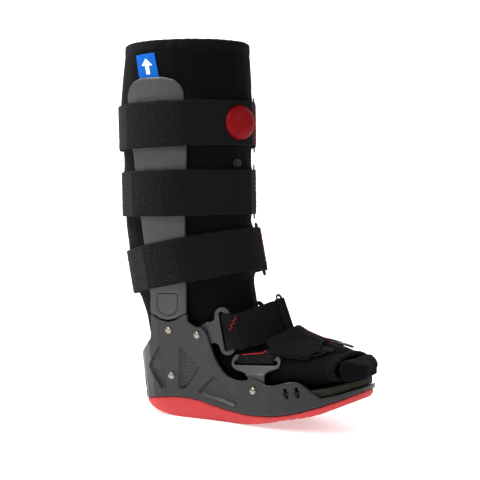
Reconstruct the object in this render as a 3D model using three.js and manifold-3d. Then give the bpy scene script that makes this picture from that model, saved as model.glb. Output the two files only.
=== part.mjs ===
// Tall walking boot: a moulded shell on a red rocker sole, two uprights, a padded liner,
// three calf straps, two foot straps and an air pump. All sizes are in millimetres.
// X runs to the toe, Y to the far side, Z up. The leg's axis is X = 0, Y = 0 while modelling.
import * as THREE from 'three';
import { mergeVertices } from 'three/addons/utils/BufferGeometryUtils.js';
import Module from 'manifold-3d';

const wasm = await Module();
wasm.setup();

// Driving sizes of the foot shell and sole
const soleLength = 284;
const heelReach = 52;          // from the leg's axis back to the end of the sole
const heelWidth = 88;
const ballWidth = 116;
const ankleHeight = 121;       // top of the shell's side wings
const toeRise = 45.5;          // top of the sole at the toe
const shellWall = 4;
const heelLean = 7;            // how far the heel cup leans back on its way up
const ankleFlare = 16;         // how far each wing leans out on its way up
const panelDepth = 1.2;
const lipDrop = 0.3;

// Driving sizes of the uprights and the liner
const bootHeight = 430;
const calfDepth = 160;
const calfWidth = 132;
const uprightWall = 4;
const uprightTop = 386.5;
const uprightCorner = 22;
const linerWall = 7;
const footWall = 4.5;
const bindingDepth = 9;
const toeBindingDepth = 5;
const insoleThickness = 9;

// Driving sizes of straps, rings, brackets and small parts
const gap = 0.35;
const jointGap = 1.2;
const strapRoom = 1.1;           // between a strap and what it wraps
const bandThickness = 3;
const footBandThickness = 2;
const tabThickness = 2;
const pouchThickness = 4.5;
const calfStrapWidth = 52;
const lowStrapWidth = 50.5;
const instepStrapWidth = 41;
const forefootStrapWidth = 46;
const ringWire = 3.6;
const ringSpan = 11;           // between the two bars of a ring
const ringSpare = 3;           // what a ring's opening has over the strap at each end
const footRingSpare = 2;
const plateThickness = 2.5;
const rivetHead = 9.5;
const rivetDome = 2.6;
const rivetShank = 4;
const bulbDiameter = 39;
const bulbHeight = 8;
const tagThickness = 0.8;
const tagWidth = 28;
const tagLength = 42;
const valveDiameter = 10;
const valveHeight = 5;

const bracketRoom = plateThickness + 2 * gap;
const uprightRoom = tagThickness + 2 * gap;

// Small helpers
const lerp = THREE.MathUtils.lerp;
const radians = THREE.MathUtils.degToRad;
const smooth = (value, low, high) => THREE.MathUtils.smoothstep(value, low, high);
const vec = (x, y, z) => new THREE.Vector3(x, y, z);
const alongX = (share) => share * soleLength - heelReach;
const riseZ = (share) => lerp(ankleHeight, bootHeight, share);

// Reads a table at a position between its rows, with straight lines from row to row
function readTable(rows, key, value, at) {
  if (at <= rows[0][key]) return rows[0][value];
  for (let i = 1; i < rows.length; i += 1) {
    if (at <= rows[i][key]) {
      const t = (at - rows[i - 1][key]) / (rows[i][key] - rows[i - 1][key]);
      return lerp(rows[i - 1][value], rows[i][value], t);
    }
  }
  return rows[rows.length - 1][value];
}

// Closed body through rings of points. Each ring has as many points as the others.
// cap is 'fan' for round ends and 'strip' for rings that run out and back over the same X.
function loft(rings, { cap = 'fan', loop = false } = {}) {
  const count = rings[0].length;
  const points = rings.flat();
  const faces = [];
  const last = loop ? rings.length : rings.length - 1;
  for (let r = 0; r < last; r += 1) {
    const next = (r + 1) % rings.length;
    for (let i = 0; i < count; i += 1) {
      const j = (i + 1) % count;
      const a = r * count + i;
      const b = r * count + j;
      const c = next * count + j;
      const d = next * count + i;
      faces.push([a, b, c], [a, c, d]);
    }
  }
  if (!loop) {
    for (const [ring, turned] of [[0, true], [rings.length - 1, false]]) {
      const start = ring * count;
      const lid = [];
      if (cap === 'fan') {
        const centre = vec(0, 0, 0);
        for (let i = 0; i < count; i += 1) centre.add(points[start + i]);
        const hub = points.push(centre.divideScalar(count)) - 1;
        for (let i = 0; i < count; i += 1) lid.push([hub, start + i, start + ((i + 1) % count)]);
      } else {
        for (let i = 0; i < count / 2; i += 1) {
          const a = start + i;
          const b = start + i + 1;
          const c = start + count - 1 - i;
          const d = start + ((count - i) % count);
          if (b !== c) lid.push([a, b, c]);
          if (a !== d) lid.push([a, c, d]);
        }
      }
      for (const [a, b, c] of lid) faces.push(turned ? [a, c, b] : [a, b, c]);
    }
  }
  return closedGeometry(points, faces);
}

// Geometry from points and faces, turned so that its faces point out
function closedGeometry(points, faces) {
  let volume = 0;
  for (const [a, b, c] of faces) {
    volume += points[a].dot(vec(0, 0, 0).crossVectors(points[b], points[c]));
  }
  const index = faces.flatMap(([a, b, c]) => (volume < 0 ? [a, c, b] : [a, b, c]));
  const geometry = new THREE.BufferGeometry();
  geometry.setAttribute('position', new THREE.Float32BufferAttribute(
    points.flatMap((p) => [p.x, p.y, p.z]), 3));
  geometry.setIndex(index);
  return geometry;
}

function toSolid(geometry) {
  const plain = geometry.clone();
  plain.deleteAttribute('normal');
  plain.deleteAttribute('uv');
  const merged = mergeVertices(plain, 1e-4);
  return new wasm.Manifold(new wasm.Mesh({
    numProp: 3,
    vertProperties: new Float32Array(merged.attributes.position.array),
    triVerts: new Uint32Array(merged.index.array),
  }));
}

function toGeometry(solid) {
  const mesh = solid.getMesh();
  const geometry = new THREE.BufferGeometry();
  geometry.setAttribute('position', new THREE.Float32BufferAttribute(mesh.vertProperties, 3));
  geometry.setIndex(Array.from(mesh.triVerts));
  return geometry;
}

// The same body on the other side of the boot's middle plane
function mirrored(geometry) {
  const copy = geometry.clone().scale(1, -1, 1);
  const index = Array.from(copy.index.array);
  for (let i = 0; i < index.length; i += 3) {
    [index[i + 1], index[i + 2]] = [index[i + 2], index[i + 1]];
  }
  copy.setIndex(index);
  return copy;
}

// Prism of a shape drawn in X and Z, running along Y from one side to the other
function sidePrism(shape, fromY, toY, segments = 6) {
  const prism = new THREE.ExtrudeGeometry(shape, {
    depth: toY - fromY, bevelEnabled: false, curveSegments: segments,
  });
  return toSolid(prism.rotateX(Math.PI / 2).translate(0, toY, 0));
}

// Foot outline and the heights that follow it

const widthRows = [
  { along: 0.155, width: 0 },
  { along: 0.324, width: -0.035 },
  { along: 0.447, width: 0.143 },
  { along: 0.553, width: 0.571 },
  { along: 0.658, width: 0.929 },
  { along: 0.746, width: 1 },
  { along: 0.817, width: 0.857 },
];
const heelCentre = widthRows[0].along;
const toeCentre = widthRows[widthRows.length - 1].along;

// Heights as shares of toeRise: where the shell meets the sole, the tread, and the shell's floor
const lineRows = [
  { along: -0.03, sole: 0.29, tread: 0.29, floor: 0.593 },
  { along: 0.018, sole: 0.32, tread: 0.23, floor: 0.593 },
  { along: 0.07, sole: 0.4, tread: 0.145, floor: 0.593 },
  { along: 0.137, sole: 0.48, tread: 0.06, floor: 0.593 },
  { along: 0.197, sole: 0.523, tread: 0, floor: 0.593 },
  { along: 0.26, sole: 0.527, tread: 0, floor: 0.593 },
  { along: 0.327, sole: 0.479, tread: 0, floor: 0.593 },
  { along: 0.387, sole: 0.402, tread: 0, floor: 0.593 },
  { along: 0.447, sole: 0.338, tread: 0, floor: 0.593 },
  { along: 0.51, sole: 0.301, tread: 0.005, floor: 0.593 },
  { along: 0.574, sole: 0.292, tread: 0.044, floor: 0.593 },
  { along: 0.637, sole: 0.308, tread: 0.11, floor: 0.6 },
  { along: 0.7, sole: 0.356, tread: 0.213, floor: 0.642 },
  { along: 0.757, sole: 0.431, tread: 0.29, floor: 0.7 },
  { along: 0.81, sole: 0.527, tread: 0.352, floor: 0.769 },
  { along: 0.859, sole: 0.629, tread: 0.44, floor: 0.828 },
  { along: 0.905, sole: 0.734, tread: 0.56, floor: 0.9 },
  { along: 0.954, sole: 0.857, tread: 0.69, floor: 1 },
  { along: 1, sole: 1, tread: 0.835, floor: 1.1 },
];
const lineAt = (name) => (x) => toeRise * readTable(lineRows, 'along', name, (x + heelReach) / soleLength);
const soleLine = lineAt('sole');
const treadLine = lineAt('tread');
const floorLine = lineAt('floor');
const insoleTop = (x) => floorLine(x) + gap + insoleThickness;

const flareStart = 30;
const heelLeanStart = 12;
const heelLeanTop = 64;

// Half the width of the foot at X, without the flare of the wings
function footHalf(x) {
  const along = (x + heelReach) / soleLength;
  const share = readTable(widthRows, 'along', 'width', along);
  return lerp(heelWidth / 2, ballWidth / 2, share);
}

// What the wings add at X and Z: nothing low down, at the heel's end and at the forefoot
function flareAt(x, z) {
  const up = THREE.MathUtils.clamp((z - flareStart) / (ankleHeight - flareStart), 0, 1.1);
  const back = smooth(x, alongX(-0.035), alongX(0.106));
  const front = 1 - smooth(x, alongX(0.4), alongX(0.577));
  return ankleFlare * up * back * front;
}

// Ring around the foot: heel arc, side stations, toe arc, and back on the far side.
// inset moves it inward and heightOf gives each point's Z.
function footRing({ inset, heightOf, toeInset = inset }) {
  const arcSteps = 5;
  const near = [];
  const heelX = alongX(heelCentre);
  for (let i = 0; i <= arcSteps; i += 1) {
    const angle = (i / arcSteps) * Math.PI / 2;
    const reach = heelX + heelReach - inset;
    const guess = heelX - reach * Math.cos(angle);
    const z = heightOf(guess);
    const lean = heelLean * THREE.MathUtils.clamp(
      (z - heelLeanStart) / (heelLeanTop - heelLeanStart), 0, 1.2);
    const x = heelX - (reach + lean) * Math.cos(angle);
    const half = footHalf(heelX) - inset + flareAt(x, z);
    near.push(vec(x, -half * Math.sin(angle), z));
  }
  const sideStations = [0.21, 0.265, 0.324, 0.385, 0.447, 0.5, 0.553, 0.605, 0.658, 0.702, 0.746, 0.782];
  for (const along of sideStations) {
    const x = alongX(along);
    const z = heightOf(x);
    near.push(vec(x, -(footHalf(x) - inset + flareAt(x, z)), z));
  }
  const toeX = alongX(toeCentre);
  for (let i = arcSteps + 1; i >= 0; i -= 1) {
    const angle = (i / (arcSteps + 1)) * Math.PI / 2;
    const toward = Math.cos(angle);
    const x = toeX + (soleLength - heelReach - toeX - lerp(inset, toeInset, toward)) * toward;
    const half = footHalf(toeX) - lerp(inset, toeInset, smooth(toward, 0.25, 0.5));
    near.push(vec(x, -half * Math.sin(angle), heightOf(x)));
  }
  near[0].y = 0;
  near[near.length - 1].y = 0;
  const far = near.slice(1, -1).reverse().map((p) => vec(p.x, -p.y, p.z));
  return [...near, ...far];
}

// Half width of the shell's outer face at X and Z, for what is placed on the wall
function shellHalf(x, z) {
  const heelX = alongX(heelCentre);
  const toeX = alongX(toeCentre);
  const half = footHalf(x) + flareAt(x, z);
  if (x < heelX) {
    const lean = heelLean * THREE.MathUtils.clamp(
      (z - heelLeanStart) / (heelLeanTop - heelLeanStart), 0, 1.2);
    const t = (heelX - x) / (heelX + heelReach + lean);
    return half * Math.sqrt(Math.max(0, 1 - t * t));
  }
  if (x > toeX) {
    const t = (x - toeX) / (soleLength - heelReach - toeX);
    return half * Math.sqrt(Math.max(0, 1 - t * t));
  }
  return half;
}

// Outsole

const soleInset = 1;
const soleRound = 3;
const grooveWidth = 3;
const grooveDepth = 1.6;
const groovePitch = 11;
const grooveCount = 6;
const firstGroove = 0.7;

function outsole() {
  const level = (inset, heightOf) => footRing({ inset, heightOf, toeInset: inset + 1 });
  const body = loft([
    level(soleInset, (x) => soleLine(x) - gap),
    level(soleInset, (x) => lerp(treadLine(x), soleLine(x), 0.45)),
    level(soleInset + soleRound, treadLine),
  ], { cap: 'strip' });
  let solid = toSolid(body);
  for (let i = 0; i < grooveCount; i += 1) {
    const x = alongX(firstGroove) + i * groovePitch;
    const groove = new THREE.BoxGeometry(grooveWidth, ballWidth * 1.2, 2 * grooveDepth);
    groove.translate(x, 0, treadLine(x));
    solid = solid.subtract(toSolid(groove));
  }
  return toGeometry(solid);
}

// Insole: a foam pad on the shell's floor that reaches nearer the edge where the wall ends

const insoleToeInset = 2.5;

function insole() {
  const inset = shellWall + bracketRoom + gap;
  return loft([
    footRing({ inset, toeInset: insoleToeInset, heightOf: (x) => floorLine(x) + gap }),
    footRing({ inset, toeInset: insoleToeInset, heightOf: insoleTop }),
  ], { cap: 'strip' });
}

// Shell: outer loft less inner loft, trimmed to the side profile, with panels, vents and holes

// The joint between wing and upright, from back to front
const jointRows = [
  { along: 0.127, height: 0.988 },
  { along: 0.14, height: 0.969 },
  { along: 0.158, height: 0.942 },
  { along: 0.18, height: 0.925 },
  { along: 0.209, height: 0.917 },
  { along: 0.238, height: 0.934 },
  { along: 0.264, height: 0.97 },
  { along: 0.284, height: 0.997 },
  { along: 0.299, height: 1 },
];
const heelEdgeRows = [
  { along: -0.03, height: 0.515 },
  { along: 0, height: 0.562 },
  { along: 0.035, height: 0.612 },
  { along: 0.077, height: 0.678 },
  { along: 0.106, height: 0.736 },
  { along: 0.118, height: 0.81 },
];
const frontEdgeRows = [
  { along: 0.3, height: 0.935 },
  { along: 0.331, height: 0.889 },
  { along: 0.368, height: 0.876 },
  { along: 0.388, height: 0.81 },
  { along: 0.408, height: 0.633 },
  { along: 0.433, height: 0.521 },
  { along: 0.465, height: 0.446 },
  { along: 0.507, height: 0.413 },
  { along: 0.549, height: 0.421 },
  { along: 0.586, height: 0.44 },
  { along: 0.621, height: 0.421 },
  { along: 0.658, height: 0.398 },
  { along: 0.694, height: 0.409 },
  { along: 0.736, height: 0.441 },
  { along: 0.775, height: 0.454 },
  { along: 0.81, height: 0.427 },
  { along: 0.845, height: 0.368 },
];
const lipStart = 0.878;
const onSide = (row) => new THREE.Vector2(alongX(row.along), ankleHeight * row.height);

function profileShape() {
  const shape = new THREE.Shape();
  const behind = alongX(-0.15);
  const ahead = alongX(1.1);
  shape.moveTo(behind, -toeRise);
  shape.lineTo(behind, onSide(heelEdgeRows[0]).y);
  for (const row of heelEdgeRows) shape.lineTo(alongX(row.along), ankleHeight * row.height);
  for (const row of jointRows) shape.lineTo(alongX(row.along), ankleHeight * row.height);
  const edge = new THREE.SplineCurve(frontEdgeRows.map(onSide)).getPoints(Math.round(1.5 * frontEdgeRows.length));
  for (const p of edge) shape.lineTo(p.x, p.y);
  for (const along of [lipStart, 0.905, 0.954, 1]) {
    shape.lineTo(alongX(along), floorLine(alongX(along)) - lipDrop);
  }
  shape.lineTo(ahead, floorLine(ahead) - lipDrop);
  shape.lineTo(ahead, -toeRise);
  shape.closePath();
  return shape;
}

// Recessed panels on each side, as corners in shares of soleLength and ankleHeight
const panels = [
  [[0.155, 0.695], [0.079, 0.461], [0.149, 0.24], [0.172, 0.283]],
  [[0.252, 0.691], [0.245, 0.642], [0.226, 0.299], [0.236, 0.262], [0.263, 0.287], [0.335, 0.489]],
  [[0.4, 0.431], [0.321, 0.274], [0.322, 0.24], [0.495, 0.158], [0.508, 0.203]],
  [[0.028, 0.388], [0.049, 0.273], [0.049, 0.182], [0.021, 0.198]],
];

function polygon(corners) {
  return new THREE.Shape(corners.map(([along, height]) => new THREE.Vector2(
    alongX(along), ankleHeight * height)));
}

// Vent: a lozenge with a neck above and below
const ventHeight = 12;
const ventWidth = 7.4;
const ventNeck = 3.4;
const ventLean = radians(17);
const vents = [[0.74, 0.344], [0.786, 0.361]];

function ventShape([along, height]) {
  const half = ventHeight / 2;
  const neck = ventNeck / 2;
  const outline = [
    [neck, half], [neck, half * 0.4], [ventWidth / 2, 0], [neck, -half * 0.4], [neck, -half],
    [-neck, -half], [-neck, -half * 0.4], [-ventWidth / 2, 0], [-neck, half * 0.4], [-neck, half],
  ];
  const centre = new THREE.Vector2(alongX(along), ankleHeight * height);
  return new THREE.Shape(outline.map(([x, z]) => new THREE.Vector2(x, z)
    .rotateAround(new THREE.Vector2(0, 0), ventLean).add(centre)));
}

// Rivets on each side. inPlate is true where the rivet also holds a bracket.
const rivets = [
  { name: 'upright', along: 0.208, height: 0.838, inPlate: false },
  { name: 'ankle', along: 0.34, height: 0.81, inPlate: true },
  { name: 'heel', along: 0.2, height: 0.397, inPlate: false },
  { name: 'forefoot', along: 0.59, height: 0.336, inPlate: true },
];

// Placement on the near wall's outer face, with its own Z pointing out of the wall
function onWall(x, z) {
  const step = 1;
  const slopeX = (shellHalf(x + step, z) - shellHalf(x - step, z)) / (2 * step);
  const slopeZ = (shellHalf(x, z + step) - shellHalf(x, z - step)) / (2 * step);
  const out = vec(-slopeX, -1, -slopeZ).normalize();
  const right = vec(1, 0, 0).addScaledVector(out, -out.x).normalize();
  const up = vec(0, 0, 0).crossVectors(out, right);
  return new THREE.Matrix4().makeBasis(right, up, out).setPosition(x, -shellHalf(x, z), z);
}

const wallPlace = (row) => onWall(alongX(row.along), ankleHeight * row.height);

function rivet(row) {
  const head = rivetHead / 2;
  const shank = rivetShank / 2;
  const depth = shellWall + (row.inPlate ? bracketRoom - gap : 0);
  const profile = [
    [0, gap + rivetDome], [head * 0.55, gap + rivetDome * 0.82], [head * 0.9, gap + rivetDome * 0.4],
    [head, gap], [shank, gap], [shank, -depth], [0, -depth],
  ].map(([r, y]) => new THREE.Vector2(r, y));
  return new THREE.LatheGeometry(profile.reverse(), 8).rotateX(Math.PI / 2).applyMatrix4(wallPlace(row));
}

function holeCutter(place, diameter, depth, sides = 8) {
  const cutter = new THREE.CylinderGeometry(diameter / 2, diameter / 2, depth, sides);
  return toSolid(cutter.rotateX(Math.PI / 2).applyMatrix4(place));
}

function baseShell() {
  const wingTop = ankleHeight * 1.06;
  const level = (inset, low, share) => footRing({
    inset, heightOf: (x) => lerp(low(x), wingTop, share),
  });
  const outer = [0, 0.15, 0.42, 0.7, 1].map((share) => level(0, soleLine, share));
  const inner = [0, 0.3, 0.65, 1.05].map((share) => level(shellWall, floorLine, share));
  const inlay = [-0.1, 0.15, 0.42, 0.7, 1.1].map((share) => level(panelDepth, soleLine, share));
  let solid = toSolid(loft(outer, { cap: 'strip' })).subtract(toSolid(loft(inner, { cap: 'strip' })));
  solid = solid.intersect(sidePrism(profileShape(), -ballWidth, ballWidth));
  const keep = toSolid(loft(inlay, { cap: 'strip' }));
  for (const corners of panels) {
    solid = solid.subtract(sidePrism(polygon(corners), -ballWidth, ballWidth).subtract(keep));
  }
  for (const vent of vents) {
    solid = solid.subtract(sidePrism(ventShape(vent), -ballWidth, ballWidth));
  }
  for (const row of rivets) {
    const hole = toGeometry(holeCutter(wallPlace(row), rivetShank + 2 * gap, 4 * shellWall));
    solid = solid.subtract(toSolid(hole)).subtract(toSolid(mirrored(hole)));
  }
  return toGeometry(solid);
}

// Liner: a padded sock lofted through sections that turn from level at the calf
// to upright at the toe. Each section runs from a back point to a front point.

// Leg sections: rise up the leg, back and front as shares of calfDepth, width of calfWidth
const legRows = [
  { rise: 0.971, back: -0.492, front: 0.452, width: 0.965 },
  { rise: 0.932, back: -0.502, front: 0.46, width: 0.977 },
  { rise: 0.854, back: -0.522, front: 0.472, width: 0.992 },
  { rise: 0.799, back: -0.531, front: 0.475, width: 1 },
  { rise: 0.757, back: -0.528, front: 0.447, width: 1 },
  { rise: 0.618, back: -0.513, front: 0.444, width: 0.985 },
  { rise: 0.579, back: -0.51, front: 0.472, width: 0.976 },
  { rise: 0.32, back: -0.5, front: 0.475, width: 0.924 },
  { rise: 0.214, back: -0.471, front: 0.486, width: 0.894 },
  { rise: 0.094, back: -0.409, front: 0.509, width: 0.856 },
];
// Heel sections: points along the foot and up the ankle
const heelRows = [
  { back: -0.004, low: 0.934, front: 0.489, high: 1.05, width: 0.96 },
  { back: 0.011, low: 0.694, front: 0.525, high: 0.94, width: 0.95 },
  { back: 0.028, low: 0.455, front: 0.556, high: 0.85, width: 0.94 },
];
// Foot sections: their low point lies on the insole. width is a share of the room in the shell.
const footRows = [
  { back: 0.085, front: 0.585, high: 0.8, width: 0.94 },
  { back: 0.201, front: 0.62, high: 0.778, width: 0.91 },
  { back: 0.331, front: 0.665, high: 0.766, width: 0.84 },
  { back: 0.465, front: 0.711, high: 0.757, width: 0.82 },
  { back: 0.588, front: 0.764, high: 0.744, width: 0.87 },
  { back: 0.704, front: 0.827, high: 0.728, width: 0.93 },
  { back: 0.81, front: 0.88, high: 0.707, width: 1 },
  { back: 0.908, front: 0.908, high: 0.694, width: 1, lift: 2.2 },
];
const linerSides = 24;
const legFullness = 2;
const topFullness = 1.8;
const underFullness = 2.5;

const linerSections = [
  ...legRows.map((row) => ({
    back: vec(calfDepth * row.back, 0, riseZ(row.rise)),
    front: vec(calfDepth * row.front, 0, riseZ(row.rise)),
    half: calfWidth / 2 * row.width,
    over: legFullness,
    under: legFullness,
    wall: linerWall,
  })),
  ...heelRows.map((row) => footSection(row, ankleHeight * row.low, legFullness)),
  ...footRows.map((row) => footSection(row, insoleTop(alongX(row.back)) + gap + (row.lift ?? 0), underFullness)),
];

function footSection(row, low, under) {
  const back = vec(alongX(row.back), 0, low);
  const front = vec(alongX(row.front), 0, ankleHeight * row.high);
  const middle = back.clone().lerp(front, 0.5);
  const room = shellHalf(Math.min(middle.x, alongX(toeCentre)), middle.z) - shellWall - bracketRoom;
  const half = room * row.width;
  return { back, front, half, over: under === legFullness ? legFullness : topFullness, under, wall: footWall };
}

// One section's ring. It starts at the front and is fuller below than above.
function linerRing(section, inset, shift = 0) {
  const middle = section.back.clone().lerp(section.front, 0.5);
  const axis = section.front.clone().sub(section.back);
  const reach = axis.length() / 2 - inset;
  axis.normalize();
  const forward = vec(axis.z, 0, -axis.x);
  const ring = [];
  for (let i = 0; i < linerSides; i += 1) {
    const angle = (i / linerSides) * 2 * Math.PI;
    const c = Math.cos(angle);
    const s = Math.sin(angle);
    const power = 2 / (c > 0 ? section.over : section.under);
    const point = middle.clone().addScaledVector(axis, reach * Math.sign(c) * Math.abs(c) ** power);
    point.addScaledVector(forward, shift);
    point.y = -(section.half - inset) * Math.sign(s) * Math.abs(s) ** power;
    ring.push(point);
  }
  return ring;
}

function liner() {
  const outside = linerSections.map((section) => linerRing(section, 0));
  const inside = linerSections.map((section) => linerRing(section, section.wall)).reverse();
  return loft([...outside, ...inside], { loop: true });
}

// Rolled edge that carries on from an open end of the liner
function rolledEdge(section, depth, way) {
  const bulge = 0.6;
  const round = depth * 0.3;
  const stations = [
    [gap, -bulge], [depth - round, -bulge], [depth, section.wall / 2],
    [depth - round, section.wall + bulge], [gap, section.wall + bulge],
  ];
  return loft(stations.map(([shift, inset]) => linerRing(section, inset, way * shift)), { loop: true });
}

// Points all over the liner's outer face, for what wraps round it
const skinSteps = 8;
function skinOf(rings) {
  const skin = [];
  for (let r = 0; r + 1 < rings.length; r += 1) {
    for (let k = 0; k <= skinSteps; k += 1) {
      rings[r].forEach((p, i) => skin.push(p.clone().lerp(rings[r + 1][i], k / skinSteps)));
    }
  }
  return skin;
}
const linerSkin = skinOf(linerSections.map((section) => linerRing(section, 0)));
const footSkin = linerSkin.filter((p) => p.z < ankleHeight);

// Half width of the liner's leg at X and Z
function legHalf(x, z) {
  const rise = (z - ankleHeight) / (bootHeight - ankleHeight);
  const rows = [...legRows].reverse();
  const back = calfDepth * readTable(rows, 'rise', 'back', rise);
  const front = calfDepth * readTable(rows, 'rise', 'front', rise);
  const half = calfWidth / 2 * readTable(rows, 'rise', 'width', rise);
  const t = (x - (back + front) / 2) / ((front - back) / 2);
  return half * Math.sqrt(Math.max(0, 1 - t * t));
}

// Uprights: plates that follow the liner's side and stand on the wings

const uprightRows = [
  { rise: 0, back: -0.1, front: 0.2 },
  { rise: 0.087, back: -0.106, front: 0.197 },
  { rise: 0.243, back: -0.134, front: 0.193 },
  { rise: 0.35, back: -0.164, front: 0.194 },
  { rise: 0.579, back: -0.222, front: 0.214 },
  { rise: 0.793, back: -0.277, front: 0.2 },
];
const wingBlend = 40;

function uprightInner(x, z) {
  const onLiner = legHalf(x, z) + uprightRoom;
  const onWing = shellHalf(x, Math.min(z, ankleHeight)) - uprightWall;
  return lerp(onWing, onLiner, smooth(z, ankleHeight, ankleHeight + wingBlend));
}

function uprightRing(z, standing) {
  const rise = (z - ankleHeight) / (bootHeight - ankleHeight);
  let back = calfDepth * readTable(uprightRows, 'rise', 'back', rise);
  let front = calfDepth * readTable(uprightRows, 'rise', 'front', rise);
  const intoCorner = (z - (uprightTop - uprightCorner)) / uprightCorner;
  if (intoCorner > 0) {
    const trim = uprightCorner * (1 - Math.sqrt(Math.max(0, 1 - Math.min(1, intoCorner) ** 2)));
    back += trim;
    front -= trim;
  }
  const steps = 5;
  const place = (i, out) => {
    const x = lerp(back, front, i / steps);
    const along = (x + heelReach) / soleLength;
    const joint = ankleHeight * readTable(jointRows, 'along', 'height', along) + jointGap;
    const height = standing ? joint : z;
    return vec(x, -(uprightInner(x, height) + out), height);
  };
  const outer = Array.from({ length: steps + 1 }, (_, i) => place(i, uprightWall));
  const inner = Array.from({ length: steps + 1 }, (_, i) => place(steps - i, 0));
  return [...outer, ...inner];
}

function uprightRings() {
  const heights = [0.06, 0.12, 0.2, 0.35, 0.47, 0.579, 0.7].map(riseZ);
  const corner = [1, 0.7, 0.4, 0.15, 0].map((share) => uprightTop - uprightCorner * share);
  return [uprightRing(ankleHeight, true), ...[...heights, ...corner].map((z) => uprightRing(z, false))];
}

// The upright's end rings lie in strips from its outer to its inner face
const uprightBody = () => toSolid(loft(uprightRings().map((ring) => {
  const half = ring.length / 2;
  return [...ring.slice(half - 1, half), ...ring.slice(half), ...ring.slice(0, half - 1)];
}), { cap: 'strip' }));

// Shield-shaped snap button in the foot of each upright
const buttonCorners = [[-6.2, 22.5], [21.2, 23], [21.2, 5.5], [15, -0.5], [7.9, -2.8], [0, -1], [-6, 3.5]]
  .map(([x, above]) => [x, ankleHeight + above]);
const buttonCentre = [7.5, ankleHeight + 10];

function buttonShape(inset) {
  const [cx, cz] = buttonCentre;
  return new THREE.Shape(buttonCorners.map(([x, z]) => {
    const toCentre = new THREE.Vector2(cx - x, cz - z);
    return new THREE.Vector2(x, z).addScaledVector(toCentre, inset / toCentre.length());
  }));
}

// Straps. A strap is drawn as a path in a plane across the leg or foot, tilted about Y.

// Frame tilted by an angle: across is its X, up is its Z
function tiltedFrame(originX, originZ, angle) {
  return {
    origin: vec(originX, 0, originZ),
    across: vec(Math.cos(angle), 0, Math.sin(angle)),
    up: vec(-Math.sin(angle), 0, Math.cos(angle)),
  };
}

const toFrame = (frame, p) => {
  const d = p.clone().sub(frame.origin);
  return { x: d.dot(frame.across), y: d.y, z: d.dot(frame.up) };
};

// The points that lie within a strap's width, seen along the strap's up direction
function underStrap(frame, width, points) {
  return points.map((p) => toFrame(frame, p)).filter((p) => Math.abs(p.z) < width / 2 + 2);
}

// Tight path round the points from one facing direction to another, offset outward
function wrapPath(pointsAt, fromAngle, toAngle, offsetOf) {
  const step = radians(2);
  const count = Math.max(2, Math.ceil(Math.abs(toAngle - fromAngle) / step));
  const path = [];
  for (let i = 0; i <= count; i += 1) {
    const angle = lerp(fromAngle, toAngle, i / count);
    const nx = Math.cos(angle);
    const ny = Math.sin(angle);
    const points = pointsAt(angle);
    let best = points[0];
    for (const p of points) if (p.x * nx + p.y * ny > best.x * nx + best.y * ny) best = p;
    const offset = offsetOf(angle);
    path.push({ x: best.x + offset * nx, y: best.y + offset * ny, nx, ny, angle });
  }
  return path;
}

// Same path with evenly spaced points, and closer ones where the start is rounded
function resample(path, spacing, roundStart = 0) {
  const lengths = [0];
  for (let i = 1; i < path.length; i += 1) {
    lengths.push(lengths[i - 1] + Math.hypot(path[i].x - path[i - 1].x, path[i].y - path[i - 1].y));
  }
  const total = lengths[lengths.length - 1];
  const stations = roundStart > 0 ? [0, 0.1, 0.3, 0.6].map((share) => share * roundStart) : [];
  const count = Math.max(1, Math.round((total - roundStart) / spacing));
  for (let i = 0; i <= count; i += 1) stations.push(lerp(roundStart, total, i / count));
  return stations.map((at) => {
    let i = 1;
    while (i < path.length - 1 && lengths[i] < at) i += 1;
    const t = (at - lengths[i - 1]) / Math.max(1e-9, lengths[i] - lengths[i - 1]);
    const nx = lerp(path[i - 1].nx, path[i].nx, t);
    const ny = lerp(path[i - 1].ny, path[i].ny, t);
    const size = Math.hypot(nx, ny);
    return {
      x: lerp(path[i - 1].x, path[i].x, t),
      y: lerp(path[i - 1].y, path[i].y, t),
      nx: nx / size,
      ny: ny / size,
      at,
    };
  });
}

// Half turn round a bar, with a short leg back under the strap. way is +1 or -1 along the path.
function turnRound(bar, normal, way, radius, leg) {
  const tangent = { x: -normal.y * way, y: normal.x * way };
  const turn = [];
  const steps = 6;
  for (let i = 0; i <= steps; i += 1) {
    const angle = (i / steps) * Math.PI;
    const nx = normal.x * Math.cos(angle) + tangent.x * Math.sin(angle);
    const ny = normal.y * Math.cos(angle) + tangent.y * Math.sin(angle);
    turn.push({ x: bar.x + radius * nx, y: bar.y + radius * ny, nx, ny });
  }
  const end = turn[turn.length - 1];
  turn.push({ ...end, x: end.x - leg * tangent.x, y: end.y - leg * tangent.y });
  return turn;
}

// Solid strip along a path: a flat section of the strap's width and thickness at each point,
// with what bulgeOf adds on the outer side
function strip(frameOf, path, thickness, widthOf, bulgeOf = () => 0) {
  const rings = path.map((p) => {
    const half = widthOf(p) / 2;
    const frame = frameOf(p);
    const inner = -thickness / 2;
    const outer = thickness / 2 + bulgeOf(p);
    const corner = (out, up) => frame.origin.clone()
      .addScaledVector(frame.across, p.x + out * p.nx)
      .addScaledVector(frame.up, up * half)
      .add(vec(0, p.y + out * p.ny, 0));
    return [corner(inner, -1), corner(outer, -1), corner(outer, 1), corner(inner, 1)];
  });
  return loft(rings, { cap: 'strip' });
}

// Width of a strap whose start is rounded with the given corner radius
const roundedStart = (width, corner) => (p) => {
  if (p.at === undefined || p.at >= corner) return width;
  return width - 2 * corner + 2 * Math.sqrt(corner ** 2 - (corner - p.at) ** 2);
};

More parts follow.
